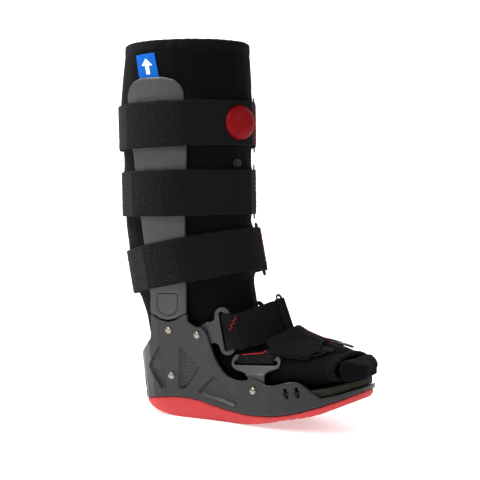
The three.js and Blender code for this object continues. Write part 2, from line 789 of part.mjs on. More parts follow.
// Ring: a rounded rectangle of wire that stands in the strap's frame with its bars along up
function ring(frame, barA, barB, opening) {
  const wire = ringWire / 2;
  const centre = { x: (barA.x + barB.x) / 2, y: (barA.y + barB.y) / 2 };
  const span = Math.hypot(barB.x - barA.x, barB.y - barA.y);
  const chord = { x: (barB.x - barA.x) / span, y: (barB.y - barA.y) / span };
  const corner = ringWire * 0.9;
  const halfWidth = span / 2;
  const halfHeight = opening / 2 + wire;
  const route = [];
  for (const [sx, sz, start] of [[1, 1, 0], [-1, 1, 90], [-1, -1, 180], [1, -1, 270]]) {
    for (const turn of [15, 75]) {
      const angle = radians(start + turn);
      route.push({
        u: sx * (halfWidth - corner) + corner * Math.cos(angle),
        v: sz * (halfHeight - corner) + corner * Math.sin(angle),
        du: Math.cos(angle),
        dv: Math.sin(angle),
      });
    }
  }
  const sides = 6;
  const rings = route.map((q) => Array.from({ length: sides }, (_, i) => {
    const angle = ((i + 0.5) / sides) * 2 * Math.PI;
    const out = wire * Math.cos(angle);
    const lift = wire * Math.sin(angle);
    const u = q.u + out * q.du;
    const v = q.v + out * q.dv;
    return frame.origin.clone()
      .addScaledVector(frame.across, centre.x + u * chord.x - lift * chord.y)
      .addScaledVector(frame.up, v)
      .add(vec(0, centre.y + u * chord.y + lift * chord.x, 0));
  }));
  return loft(rings, { loop: true });
}

const barTurn = (thickness) => ringWire / 2 + gap + thickness / 2;
const ringOffset = strapRoom + bandThickness + gap + ringWire / 2;
const legLength = 8;

// Calf strap: the band runs from its hidden near end round the back to the ring, and the tab
// from the ring over the near side. Angles are the facing direction, 0 ahead and -90 near.
const calfStraps = [
  { name: 'upper', rise: 0.689, tilt: 1.5, width: calfStrapWidth, tabFrom: -59, pouch: true },
  { name: 'middle', rise: 0.439, tilt: 1.2, width: calfStrapWidth, tabFrom: -84, pouch: false },
  { name: 'lower', rise: 0.178, tilt: 11.3, width: lowStrapWidth, tabFrom: -80, pouch: false },
];
const ringAngle = 33;
const bandEnd = -48;
const tabCorner = 15;
const pouchRamp = 10;
const bulbAngle = -25;

const calfFrame = (row) => tiltedFrame(0, riseZ(row.rise), radians(row.tilt));

function calfStrap(row, uprightSkin) {
  const frame = calfFrame(row);
  const under = underStrap(frame, row.width, [...linerSkin, ...uprightSkin]);
  const points = () => under;
  const at = (degrees, offset) => wrapPath(points, radians(degrees), radians(degrees), () => offset)[0];
  const middle = at(ringAngle, ringOffset);
  const barAt = (way) => ({
    x: middle.x - way * ringSpan / 2 * middle.ny,
    y: middle.y + way * ringSpan / 2 * middle.nx,
  });
  const barA = barAt(-1);
  const barB = barAt(1);
  const normal = { x: middle.nx, y: middle.ny };

  const bandOffset = strapRoom + bandThickness / 2;
  const bandLift = ringOffset + barTurn(bandThickness);
  const bandPath = wrapPath(points, radians(bandEnd), radians(ringAngle - 360), (angle) => lerp(
    bandOffset, bandLift, smooth(-angle, radians(270), radians(360 - ringAngle))));
  const bandShort = bandPath.filter((p) => before(p, barB, normal, 1) || p.angle > radians(-180));
  const band = [
    ...resample(bandShort, 11),
    ...turnRound(barB, normal, -1, barTurn(bandThickness), legLength),
  ];

  const tabOffset = strapRoom + bandThickness + strapRoom + tabThickness / 2;
  const tabLift = ringOffset + barTurn(tabThickness);
  const tabPath = wrapPath(points, radians(row.tabFrom), radians(ringAngle), (angle) => lerp(
    tabOffset, tabLift, smooth(angle, radians(-10), radians(ringAngle))));
  const tabShort = tabPath.filter((p) => before(p, barA, normal, -1) || p.angle < 0);
  const tabBody = resample(tabShort, 10, row.pouch ? 0 : tabCorner);
  const length = tabBody[tabBody.length - 1].at;
  const tab = [...tabBody, ...turnRound(barA, normal, 1, barTurn(tabThickness), legLength)];
  const tabWidth = row.pouch ? () => row.width - 2 : roundedStart(row.width - 1, tabCorner);
  const puff = (p) => (pouchThickness - tabThickness)
    * smooth(p.at ?? 0, 0, pouchRamp) * (1 - smooth(p.at ?? length, length - 2 * pouchRamp, length));
  return {
    band: strip(() => frame, band, bandThickness, () => row.width),
    tab: strip(() => frame, tab, tabThickness, tabWidth, row.pouch ? puff : undefined),
    ring: ring(frame, barA, barB, row.width + 2 * ringSpare),
  };
}

// True while a path point hasn't yet reached a bar, seen along the ring's chord
function before(p, bar, normal, way) {
  const tangent = { x: -normal.y * way, y: normal.x * way };
  return (p.x - bar.x) * tangent.x + (p.y - bar.y) * tangent.y > 1;
}

// Brackets: a foot on the inside of the wall and a slotted frame that leans over the foot

// Frame that leans in from a tilted frame: right runs along the plate, up is the plate's other way
function leaningPlate(frame, lean, plateY, slotAlongUp) {
  const inward = vec(0, 1, 0);
  const leanFrom = slotAlongUp ? frame.across : frame.up;
  const leant = leanFrom.clone().multiplyScalar(Math.cos(lean)).addScaledVector(inward, Math.sin(lean));
  const right = slotAlongUp ? leant : frame.across;
  const up = slotAlongUp ? frame.up : leant;
  const out = vec(0, 0, 0).crossVectors(right, up);
  const origin = frame.origin.clone().setY(plateY);
  return new THREE.Matrix4().makeBasis(right, up, out).setPosition(origin);
}

function plate(shape, lowFace, place) {
  const slab = new THREE.ExtrudeGeometry(shape, {
    depth: plateThickness, bevelEnabled: false, curveSegments: 3,
  });
  return toSolid(slab.translate(0, 0, lowFace).applyMatrix4(place));
}

// Slot with round ends, centred on a point, running along y or along x
function slotHole(x, y, halfWidth, halfLength, alongY) {
  const hole = new THREE.Path();
  const reach = halfLength - halfWidth;
  if (alongY) {
    hole.absarc(x, y + reach, halfWidth, 0, Math.PI);
    hole.absarc(x, y - reach, halfWidth, Math.PI, 2 * Math.PI);
  } else {
    hole.absarc(x + reach, y, halfWidth, -Math.PI / 2, Math.PI / 2);
    hole.absarc(x - reach, y, halfWidth, Math.PI / 2, 1.5 * Math.PI);
  }
  hole.closePath();
  return hole;
}

const underWall = -(shellWall + gap + plateThickness);
const plateInWall = shellWall + gap + plateThickness / 2;
const slotHalf = 2.8;
const barHalf = 3.5;

// Ankle bracket: its slot runs up the leg's front, tilted back
const ankleBend = { along: 0.384, height: 0.81 };
const ankleTilt = radians(11.5);
const ankleLean = radians(20);
const ankleFrame = tiltedFrame(alongX(ankleBend.along), ankleHeight * ankleBend.height, ankleTilt);
const ankleArmLow = 10;
const ankleY = -(shellHalf(ankleFrame.origin.x, ankleFrame.origin.z - ankleArmLow) - plateInWall);
const ankleSlotX = 17.3;
const ankleSlotY = 1.3;
const ankleSlotReach = instepStrapWidth / 2 + 2;

function ankleBracket() {
  const centre = ankleSlotX + 0.9;
  const halfWidth = slotHalf + 2 * barHalf - 0.9;
  const reach = ankleSlotReach + barHalf * 1.4;
  const outline = new THREE.Shape();
  outline.moveTo(-1.5, 15);
  outline.lineTo(5, 14.5);
  outline.quadraticCurveTo(centre - halfWidth, 15, centre - halfWidth, 20);
  outline.absarc(centre, ankleSlotY + reach - halfWidth, halfWidth, Math.PI, 0, true);
  outline.absarc(centre, ankleSlotY - reach + halfWidth, halfWidth, 0, -Math.PI, true);
  outline.lineTo(centre - halfWidth, -14);
  outline.quadraticCurveTo(7, -8, -1.5, -ankleArmLow);
  outline.closePath();
  outline.holes.push(slotHole(ankleSlotX, ankleSlotY, slotHalf, ankleSlotReach, true));
  const arm = new THREE.Shape();
  const pivot = 9;
  const reachToBend = alongX(ankleBend.along - rivets[1].along) + heelReach;
  arm.absarc(0, 0, pivot, Math.PI / 2, 1.5 * Math.PI);
  arm.lineTo(reachToBend + 1, -ankleArmLow);
  arm.lineTo(reachToBend + 1, 14.5);
  arm.lineTo(reachToBend * 0.5, 13);
  arm.closePath();
  const frame = plate(outline, -plateThickness / 2, leaningPlate(ankleFrame, ankleLean, ankleY, true));
  const wall = wallPlace(rivets[1]);
  const hole = holeCutter(wall, rivetShank + 2 * gap, 6 * shellWall);
  const pivotX = alongX(rivets[1].along);
  const pivotZ = ankleHeight * rivets[1].height;
  const pivotY = -(shellHalf(pivotX, pivotZ - ankleArmLow) - plateInWall);
  const run = vec(reachToBend, ankleY - pivotY, 0).normalize();
  const upright = vec(0, 0, 1);
  const standing = new THREE.Matrix4().makeBasis(run, upright, vec(0, 0, 0).crossVectors(run, upright));
  standing.setPosition(pivotX, pivotY, pivotZ);
  return toGeometry(frame.add(plate(arm, -plateThickness / 2, standing)).subtract(hole));
}

// Forefoot bracket: its slot runs along the foot above the wall
const forefootTilt = radians(3);
const forefootLean = radians(24);
const forefootFrame = tiltedFrame(alongX(0.59), ankleHeight * 0.471, forefootTilt);
const forefootY = -(shellHalf(forefootFrame.origin.x, forefootFrame.origin.z) - plateInWall);
const forefootSlotX = -2;
const forefootSlotY = 14;
const forefootSlotReach = forefootStrapWidth / 2 + 4.5;

function forefootBracket() {
  const outline = new THREE.Shape();
  const left = forefootSlotX - forefootSlotReach - barHalf;
  const right = forefootSlotX + forefootSlotReach + barHalf;
  const low = forefootSlotY - slotHalf - 5.5;
  const high = forefootSlotY + slotHalf + 2 * barHalf;
  outline.moveTo(-11.5, -1.5);
  outline.lineTo(-12, 1);
  outline.quadraticCurveTo(-15, 3, left + 7, low);
  outline.quadraticCurveTo(left, low + 3, left, forefootSlotY);
  outline.quadraticCurveTo(left, high, left + 8, high);
  outline.lineTo(right - 7, high);
  outline.quadraticCurveTo(right, high, right, forefootSlotY);
  outline.quadraticCurveTo(right, low + 2, right - 6, low + 1);
  outline.quadraticCurveTo(13, 4, 12, 1);
  outline.lineTo(11.5, -1.5);
  outline.closePath();
  outline.holes.push(slotHole(forefootSlotX, forefootSlotY, slotHalf, forefootSlotReach, false));
  const foot = new THREE.Shape();
  const top = forefootFrame.origin.z - ankleHeight * rivets[3].height + 1.2;
  foot.moveTo(-11.5, top);
  foot.lineTo(-11.5, 0);
  foot.quadraticCurveTo(-11, -9, 0, -9);
  foot.quadraticCurveTo(11, -9, 11.5, 0);
  foot.lineTo(11.5, top);
  foot.closePath();
  const frame = plate(outline, -plateThickness / 2,
    leaningPlate(forefootFrame, forefootLean, forefootY, false));
  const hole = holeCutter(wallPlace(rivets[3]), rivetShank + 2 * gap, 4 * shellWall);
  return toGeometry(frame.add(plate(foot, underWall, wallPlace(rivets[3]))).subtract(hole));
}

// A strap rises to its ring over this turn, in degrees, and stays up for the last of it
const liftRun = 46;
const liftHold = 10;

// Foot strap: a band looped through the near bracket, a tab over it from the ring,
// and a keeper from the ring to the far bracket. Angles face 0 over the foot, -90 near.
function footStrap({ frameOf, weightAt, lean, plateY, slotEdge, width, ringAngle, bandTo, tabStart }) {
  const normal = { x: Math.sin(lean), y: -Math.cos(lean) };
  const onPlate = (along, out) => ({
    x: along * Math.cos(lean) + out * normal.x,
    y: plateY + along * Math.sin(lean) + out * normal.y,
  });
  const barEdge = slotEdge + 2 * barHalf;
  const corners = [slotEdge, barEdge].map((along) => onPlate(along, plateThickness / 2));
  const barPoints = corners.flatMap((p) => [p, { x: p.x, y: -p.y }]);
  const known = new Map();
  const pointsUnder = (breadth) => (angle) => {
    const weight = weightAt(angle).toFixed(2);
    const key = `${breadth} ${weight}`;
    if (!known.has(key)) {
      known.set(key, [...underStrap(frameOf({ w: Number(weight) }), breadth, footSkin), ...barPoints]);
    }
    return known.get(key);
  };
  const points = pointsUnder(width);
  const startAngle = Math.atan2(normal.y, normal.x);
  const at = (pointsAt, offset) => wrapPath(
    pointsAt, radians(ringAngle), radians(ringAngle), () => offset)[0];
  const thickness = footBandThickness;
  const onStrap = at(points, 0);
  const onRing = at(pointsUnder(width + 2 * (footRingSpare + ringWire)), 0);
  const highUnderRing = (onRing.x - onStrap.x) * onStrap.nx + (onRing.y - onStrap.y) * onStrap.ny;
  const ringAway = highUnderRing + strapRoom + thickness + gap + ringWire / 2;
  const middle = at(points, ringAway);
  const ringNormal = { x: middle.nx, y: middle.ny };
  const barAt = (way) => ({
    x: middle.x - way * ringSpan / 2 * middle.ny,
    y: middle.y + way * ringSpan / 2 * middle.nx,
  });
  const barA = barAt(-1);
  const barB = barAt(1);
  const ringWeight = weightAt(radians(ringAngle));
  const withWeight = (path, weight) => path.map((p) => ({ ...p, w: weight }));
  const weighted = (path) => path.map((p) => ({ ...p, w: weightAt(p.angle ?? Math.atan2(p.ny, p.nx)) }));

  const hold = gap + plateThickness / 2 + thickness / 2;
  const slotTurn = turnRound(onPlate(slotEdge, 0), normal, -1, hold, barHalf);
  const nearTurn = withWeight(slotTurn, 0).reverse();
  const rest = 2 * gap + thickness / 2;
  const bandPath = wrapPath(points, startAngle, radians(bandTo), (angle) => lerp(
    rest, strapRoom + thickness / 2, smooth(angle, startAngle, startAngle + radians(20))));
  const band = [...nearTurn, ...clearOf(weighted(resample(bandPath, 6)), nearTurn[nearTurn.length - 1])];

  const tabOffset = strapRoom + thickness + strapRoom + tabThickness / 2;
  const lift = ringAway + barTurn(tabThickness);
  const tabPath = wrapPath(points, startAngle, radians(ringAngle), (angle) => lerp(
    tabOffset, lift, smooth(angle, radians(ringAngle - liftRun), radians(ringAngle - liftHold))));
  const tabShort = tabPath.filter((p) => before(p, barA, ringNormal, -1));
  const tabBody = weighted(resample(trimmed(tabShort, tabStart), 6, tabCorner));
  const tabTurn = withWeight(turnRound(barA, ringNormal, 1, barTurn(tabThickness), legLength), ringWeight);

  const keeperPath = wrapPath(points, radians(ringAngle), -startAngle, (angle) => lerp(
    ringAway + barTurn(thickness), rest, smooth(angle, radians(ringAngle + liftHold), -startAngle)));
  const keeperShort = keeperPath.filter((p) => before(p, barB, ringNormal, 1));
  const ringTurn = withWeight(turnRound(barB, ringNormal, -1, barTurn(thickness), legLength), ringWeight);
  const farTurn = nearTurn.map((p) => ({ ...p, y: -p.y, ny: -p.ny })).reverse();
  const keeper = [...ringTurn.reverse(), ...clearOf(weighted(resample(keeperShort, 6)), farTurn[0]), ...farTurn];
  return {
    band: strip(frameOf, band, thickness, () => width),
    tab: strip(frameOf, [...tabBody, ...tabTurn], tabThickness, roundedStart(width, tabCorner)),
    keeper: strip(frameOf, keeper, thickness, () => width),
    ring: ring(frameOf({ w: ringWeight }), barA, barB, width + 2 * footRingSpare),
  };
}

// Path with its inner points drawn level with their neighbours
function eased(path, rounds) {
  let points = path;
  for (let i = 0; i < rounds; i += 1) {
    points = points.map((p, k) => {
      if (k === 0 || k === points.length - 1) return p;
      const mean = (key) => (points[k - 1][key] + 2 * p[key] + points[k + 1][key]) / 4;
      return { ...p, x: mean('x'), y: mean('y'), w: mean('w') };
    });
  }
  return points;
}

// Path without the points that lie close to another point
const clearOf = (path, point) => path.filter((p) => Math.hypot(p.x - point.x, p.y - point.y) > 1);

// Path without its first stretch
function trimmed(path, length) {
  let left = length;
  for (let i = 1; i < path.length; i += 1) {
    const step = Math.hypot(path[i].x - path[i - 1].x, path[i].y - path[i - 1].y);
    if (step > left) {
      const t = left / step;
      const start = { ...path[i] };
      for (const key of ['x', 'y', 'nx', 'ny', 'angle']) start[key] = lerp(path[i - 1][key], path[i][key], t);
      return [start, ...path.slice(i)];
    }
    left -= step;
  }
  return path;
}

// How far a facing direction has turned from the bracket's plate (0) to straight ahead (1)
const turned = (lean, power) => (angle) => {
  const side = Math.sin(lean);
  return THREE.MathUtils.clamp((Math.cos(angle) - side) / (1 - side), 0, 1) ** power;
};

// The instep strap tips back over the instep about a line in front of the ankle
const instepTilt = radians(22);
const instepAhead = 68;
function instepFrameOf({ w }) {
  const tilt = lerp(ankleTilt, instepTilt, w ?? 0);
  const drop = instepAhead * (Math.tan(tilt) - Math.tan(ankleTilt));
  return tiltedFrame(ankleFrame.origin.x, ankleFrame.origin.z - drop, tilt);
}

const instepStrap = {
  frameOf: instepFrameOf,
  weightAt: turned(ankleLean, 1),
  lean: ankleLean,
  plateY: ankleY,
  slotEdge: ankleSlotX + slotHalf,
  width: instepStrapWidth,
  ringAngle: 25,
  bandTo: -8,
  tabStart: 2 * barHalf + 4,
};

// The forefoot strap runs forward and tips down over the top of the foot
const ridgeShift = 50;
const ridgeTilt = radians(-18);
function forefootFrameOf({ w }) {
  const weight = w ?? 0;
  const tilt = lerp(forefootTilt, ridgeTilt, weight);
  const shift = forefootSlotX + ridgeShift * weight;
  const drop = vec(Math.cos(tilt), 0, Math.sin(tilt)).multiplyScalar(shift);
  return {
    origin: forefootFrame.origin.clone().add(drop),
    across: vec(-Math.sin(tilt), 0, Math.cos(tilt)),
    up: vec(Math.cos(tilt), 0, Math.sin(tilt)),
  };
}

const forefootStrap = {
  frameOf: forefootFrameOf,
  weightAt: turned(forefootLean, 1.1),
  lean: forefootLean,
  plateY: forefootY,
  slotEdge: forefootSlotY + slotHalf,
  width: forefootStrapWidth,
  ringAngle: 12,
  bandTo: -4,
  tabStart: 2 * barHalf + 2,
};

// Pump bulb: a dome that stands through the pouch
const bulbSides = 20;
const bulbRows = [[0, 1], [0.36, 0.93], [0.68, 0.7], [0.9, 0.36], [1, 0]];

function bulbPlace(uprightSkin) {
  const row = calfStraps[0];
  const frame = calfFrame(row);
  const under = underStrap(frame, row.width, [...linerSkin, ...uprightSkin]);
  const offset = strapRoom + bandThickness + strapRoom + pouchThickness;
  const [p] = wrapPath(() => under, radians(bulbAngle), radians(bulbAngle), () => offset);
  const out = frame.across.clone().multiplyScalar(p.nx).add(vec(0, p.ny, 0));
  const right = vec(0, 0, 0).crossVectors(frame.up, out);
  const origin = frame.origin.clone().addScaledVector(frame.across, p.x).add(vec(0, p.y, 0));
  return new THREE.Matrix4().makeBasis(right, frame.up, out).setPosition(origin);
}

function lathed(rows, place, sides) {
  const profile = rows.map(([r, y]) => new THREE.Vector2(r, y));
  return new THREE.LatheGeometry(profile, sides).rotateX(Math.PI / 2).applyMatrix4(place);
}

function pumpBulb(place) {
  const radius = bulbDiameter / 2;
  const dome = bulbRows.map(([r, y]) => [radius * r, bulbHeight * y]);
  const profile = [...dome, [radius, -pouchThickness], [0, -pouchThickness]];
  return lathed(profile.reverse(), place, bulbSides);
}

// Pull tag: a thin strip that hangs up the liner from behind the near upright
const tagTop = { x: -20, z: bootHeight - 16 };
const tagSideLean = radians(15);
const tagTopLean = radians(3);

function pullTag() {
  const across = 4;
  const down = 3;
  const at = (u, v, out) => {
    const x = tagTop.x + u * tagWidth + v * tagLength * Math.sin(tagSideLean);
    const z = tagTop.z + u * tagWidth * Math.sin(tagTopLean) - v * tagLength * Math.cos(tagSideLean);
    return vec(x, -(legHalf(x, z) + gap + out), z);
  };
  const rings = [];
  for (let j = 0; j <= down; j += 1) {
    const outer = Array.from({ length: across + 1 }, (_, i) => at(i / across - 0.5, j / down, tagThickness));
    const inner = Array.from({ length: across + 1 }, (_, i) => at(0.5 - i / across, j / down, 0));
    rings.push([...outer.slice(-1), ...inner, ...outer.slice(0, -1)]);
  }
  return loft(rings, { cap: 'strip' });
}

// Air valve on the liner's front, just above the middle strap
const valveRise = 0.5497;
const valveAngle = -24;

function airValve() {
  const frame = tiltedFrame(0, riseZ(valveRise), 0);
  const under = underStrap(frame, valveDiameter, linerSkin);
  const [p] = wrapPath(() => under, radians(valveAngle), radians(valveAngle), () => gap);
  const out = vec(p.nx, p.ny, 0);
  const right = vec(0, 0, 0).crossVectors(frame.up, out);
  const place = new THREE.Matrix4().makeBasis(right, frame.up, out).setPosition(p.x, p.y, frame.origin.z);
  const flange = valveDiameter / 2;
  return lathed([[0, 0], [flange, 0], [flange, 1.5], [flange * 0.7, 2], [flange * 0.7, valveHeight],
    [flange * 0.4, valveHeight], [flange * 0.3, valveHeight - 1.5], [0, valveHeight - 1.5]], place, 10);
}

// Toe flap: a padded tongue that comes out of the liner's toe end and rests on the insole.
// half is a share of flapHalf, low lies above the insole and top is a share of ankleHeight.
const flapHalf = 40.5;
const flapRows = [
  { along: 0.885, half: 0.66, low: 0.512, top: 0.61 },
  { along: 0.928, half: 0.7, low: 0.512, top: 0.61 },
  { along: 0.932, half: 0.93, low: 0.47, top: 0.644 },
  { along: 0.95, half: 0.87, low: 0, top: 0.64 },
  { along: 0.972, half: 0.74, low: 0, top: 0.625 },
  { along: 0.992, half: 0.56, low: 0, top: 0.605 },
  { along: 1.007, half: 0.33, low: 0, top: 0.585 },
];

function toeFlap() {
  const across = [-1, -0.85, -0.5, 0, 0.5, 0.85, 1];
  const rings = flapRows.map((row) => {
    const x = alongX(row.along);
    const low = Math.max(insoleTop(x) + gap, ankleHeight * row.low);
    const high = ankleHeight * row.top;
    const half = flapHalf * row.half;
    const edge = (share) => Math.abs(share) === 1 ? (high - low) * 0.25 : 0;
    const under = across.map((share) => vec(x, half * share, low + edge(share)));
    const over = [...across].reverse().map((share) => vec(x, half * share, high - edge(share)));
    return [...under.slice(0, 1), ...under.slice(1), ...over];
  });
  const inOrder = rings.map((ring) => [...ring.slice(-1), ...ring.slice(0, -1)]);
  return loft(inOrder, { cap: 'fan' });
}

// Materials
const finish = (color, roughness, metalness = 0) => new THREE.MeshStandardMaterial({ color, roughness, metalness });
const materials = {
  sole: finish(0xc83c3a, 0.6),
  shell: finish(0x3a3a3c, 0.5),
  upright: finish(0x58595b, 0.45),
  plate: finish(0x5a5b5d, 0.45),
  foam: finish(0x34322a, 0.9),
  fabric: finish(0x151317, 0.95),
  loop: finish(0x1b1b1d, 1),
  hook: finish(0x1c1c1e, 0.8),
  wire: finish(0x0c0c0d, 0.4),
  steel: finish(0xa9a49b, 0.3, 0.9),
  rubber: finish(0x8a0812, 0.45),
  tag: finish(0x0069c8, 0.6),
};

const boot = new THREE.Group();
function addPiece(name, geometry, material) {
  const mesh = new THREE.Mesh(geometry, material);
  mesh.name = name;
  boot.add(mesh);
}
function addPair(name, geometry, material) {
  addPiece(`${name}_near`, geometry, material);
  addPiece(`${name}_far`, mirrored(geometry), material);
}

addPiece('outsole', outsole(), materials.sole);
addPiece('base_shell', baseShell(), materials.shell);
addPiece('insole', insole(), materials.foam);
for (const row of rivets) addPair(`rivet_${row.name}`, rivet(row), materials.steel);
addPiece('liner', liner(), materials.fabric);
addPiece('top_binding', rolledEdge(linerSections[0], bindingDepth, -1), materials.fabric);
addPiece('toe_binding', rolledEdge(linerSections[linerSections.length - 1], toeBindingDepth, 1), materials.fabric);
addPiece('toe_flap', toeFlap(), materials.fabric);

const uprightSolid = uprightBody();
addPair('upright', toGeometry(uprightSolid.subtract(sidePrism(buttonShape(0), -ballWidth, 0))), materials.upright);
addPair('lock_button', toGeometry(uprightSolid.intersect(sidePrism(buttonShape(gap), -ballWidth, 0))),
  materials.upright);

addPair('ankle_bracket', ankleBracket(), materials.plate);
addPair('forefoot_bracket', forefootBracket(), materials.plate);
addPiece('pull_tag', pullTag(), materials.tag);
addPiece('air_valve', airValve(), materials.wire);

const uprightSkin = skinOf(uprightRings()).flatMap((p) => [p, vec(p.x, -p.y, p.z)]);
const bulbAt = bulbPlace(uprightSkin);
addPiece('pump_bulb', pumpBulb(bulbAt), materials.rubber);
for (const row of calfStraps) {
  const strap = calfStrap(row, uprightSkin);
  addPiece(`calf_strap_${row.name}`, strap.band, materials.loop);
  if (row.pouch) {
    const hole = holeCutter(bulbAt, bulbDiameter + 2 * gap, 8 * pouchThickness, bulbSides);
    addPiece('pump_pouch', toGeometry(toSolid(strap.tab).subtract(hole)), materials.hook);
  } else {
    addPiece(`calf_tab_${row.name}`, strap.tab, materials.hook);
  }
  addPiece(`calf_ring_${row.name}`, strap.ring, materials.wire);
}
for (const [name, spec] of [['instep', instepStrap], ['forefoot', forefootStrap]]) {
  const strap = footStrap(spec);
  addPiece(`${name}_strap`, strap.band, materials.loop);
  addPiece(`${name}_tab`, strap.tab, materials.hook);
  addPiece(`${name}_keeper`, strap.keeper, materials.loop);
  addPiece(`${name}_ring`, strap.ring, materials.wire);
}

// The origin is under the middle of the boot, on the floor
const box = new THREE.Box3().setFromObject(boot);
const middle = box.getCenter(vec(0, 0, 0));
boot.position.set(-middle.x, -middle.y, -box.min.z);
boot.updateMatrixWorld(true);

export default boot;
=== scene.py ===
# %% [markdown]
# # A tall walking boot
# The boot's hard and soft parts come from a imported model, which stays as it is. This lesson
# dresses them: each plain solid that needs rounded edges, padding or fuzz is copied into a
# fine mesh of its own, and every surface gets a finish made of shader nodes.

import math

import bmesh
import bpy
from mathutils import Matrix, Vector, noise
from mathutils.bvhtree import BVHTree


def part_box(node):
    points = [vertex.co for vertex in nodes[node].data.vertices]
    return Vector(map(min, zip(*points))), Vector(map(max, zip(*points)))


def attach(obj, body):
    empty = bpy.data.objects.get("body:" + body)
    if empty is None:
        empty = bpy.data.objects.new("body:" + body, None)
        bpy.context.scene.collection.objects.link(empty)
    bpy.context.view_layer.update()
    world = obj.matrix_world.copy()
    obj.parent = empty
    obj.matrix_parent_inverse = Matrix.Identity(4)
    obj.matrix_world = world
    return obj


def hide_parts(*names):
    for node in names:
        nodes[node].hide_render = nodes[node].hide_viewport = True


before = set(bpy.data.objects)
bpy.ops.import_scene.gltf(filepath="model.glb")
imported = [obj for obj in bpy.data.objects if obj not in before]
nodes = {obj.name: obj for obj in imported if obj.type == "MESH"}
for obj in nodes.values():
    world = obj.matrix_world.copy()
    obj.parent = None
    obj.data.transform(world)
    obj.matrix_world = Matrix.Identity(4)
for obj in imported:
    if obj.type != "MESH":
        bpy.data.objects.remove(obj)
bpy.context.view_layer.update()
MM = 0.001

# %% [markdown]
# The photograph looks at the boot from the front left, almost level with it, from about one
# and a half metres. A long lens keeps the upright lines of the leg parallel.

# %% Camera
camera_azimuth = math.radians(30)
camera_elevation = math.radians(2.5)
camera_distance = 1.4
camera_lens = 89.25
camera_sensor = 36
aim_ahead = 54.3
aim_aside = 29.5
aim_height = 201.5
leg_middle = (Vector(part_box("top_binding")[0]) + Vector(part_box("top_binding")[1])) / 2
aim = Vector((leg_middle.x + aim_ahead * MM, leg_middle.y + aim_aside * MM, aim_height * MM))

sight = Vector((
    math.sin(camera_azimuth) * math.cos(camera_elevation),
    -math.cos(camera_azimuth) * math.cos(camera_elevation),
    math.sin(camera_elevation)))
camera_data = bpy.data.cameras.new("camera")
camera_data.lens = camera_lens
camera_data.sensor_width = camera_sensor
camera = bpy.data.objects.new("camera", camera_data)
camera.location = aim + camera_distance * sight
camera.rotation_euler = (-sight).to_track_quat("-Z", "Y").to_euler()
bpy.context.collection.objects.link(camera)
bpy.context.scene.camera = camera
print("camera at", [round(v, 3) for v in camera.location])

# %% [markdown]
# Shader nodes are easier to read as sums. The Signal class wraps a socket, so that
# `1 - mask * 0.5` adds the Math nodes it needs. Colours don't go through Math nodes, which
# would turn them grey: they are blended by a Mix node. Finish.node makes any other node.

# %% Signals and finishes
class Signal:
    """A node's output that takes part in plain arithmetic."""

    def __init__(self, finish, socket):
        self.finish = finish
        self.socket = socket

    def maths(self, operation, *values):
        return self.finish.node("ShaderNodeMath", {"operation": operation}, dict(enumerate(values)))

    def __add__(self, other):
        return self.maths("ADD", self, other)

    def __radd__(self, other):
        return self.maths("ADD", other, self)

    def __sub__(self, other):
        return self.maths("SUBTRACT", self, other)

    def __rsub__(self, other):
        return self.maths("SUBTRACT", other, self)

    def __mul__(self, other):
        return self.maths("MULTIPLY", self, other)

    def __rmul__(self, other):
        return self.maths("MULTIPLY", other, self)

    def __gt__(self, other):
        return self.maths("GREATER_THAN", self, other)

    def __lt__(self, other):
        return self.maths("LESS_THAN", self, other)


class Finish:
    """A material with one Principled surface."""

    def __init__(self, name, **constants):
        self.material = bpy.data.materials.new(name)
        self.material.use_nodes = True
        self.tree = self.material.node_tree
        self.surface = self.tree.nodes["Principled BSDF"]
        self.set(**constants)

    def node(self, kind, settings=None, inputs=None, output=0):
        made = self.tree.nodes.new(kind)
        for key, value in (settings or {}).items():
            if key == "stops":
                ramp = made.color_ramp.elements
                while len(ramp) < len(value):
                    ramp.new(0.5)
                for element, (position, shade) in zip(ramp, value):
                    element.position = position
                    element.color = (shade, shade, shade, 1)
            else:
                setattr(made, key, value)
        for key, value in (inputs or {}).items():
            self.join(made.inputs[key], value)
        return Signal(self, made.outputs[output])

    def join(self, socket, value):
        if isinstance(value, Signal):
            self.tree.links.new(value.socket, socket)
        else:
            socket.default_value = value

    def set(self, **values):
        for key, value in values.items():
            self.join(self.surface.inputs[key.replace("_", " ")], value)

    def place(self):
        return self.node("ShaderNodeTexCoord", output="Object")

    def split(self, axis):
        return self.node("ShaderNodeSeparateXYZ", inputs={0: self.place()}, output=axis)

    def grain(self, size, detail=2.0, roughness=0.5):
        """Noise whose lumps are about that many millimetres across."""
        return self.node("ShaderNodeTexNoise", inputs={
            "Vector": self.place(), "Scale": 1 / (size * MM), "Detail": detail,
            "Roughness": roughness})

    def ramp(self, value, *stops):
        return self.node("ShaderNodeValToRGB", {"stops": stops}, {"Fac": value})

    def blend(self, factor, first, second):
        return self.node("ShaderNodeMix", {"data_type": "RGBA"},
                         {0: factor, 6: first, 7: second}, output=2)

    def bump(self, height, strength, depth):
        normal = self.node("ShaderNodeBump", inputs={
            "Height": height, "Strength": strength, "Distance": depth * MM})
        self.set(Normal=normal)


def tone(red, green, blue):
    return (red, green, blue, 1.0)


print("signals and finishes are ready")

# %% [markdown]
# The moulded plastics are matt with a fine sand grain from the mould, and slightly uneven
# gloss where hands and straps have polished them.

# %% Plastics, rubber and metal
def moulded(name, dark, light, gloss, grain=0.45):
    finish = Finish(name, Specular_IOR_Level=0.35)
    cloudy = finish.grain(22, 3)
    fine = finish.grain(grain, 2)
    finish.set(Base_Color=finish.blend(cloudy, tone(*dark), tone(*light)))
    finish.set(Roughness=gloss + finish.grain(9, 4) * 0.16 + fine * 0.08)
    finish.bump(fine, 0.25, 0.12)
    return finish.material


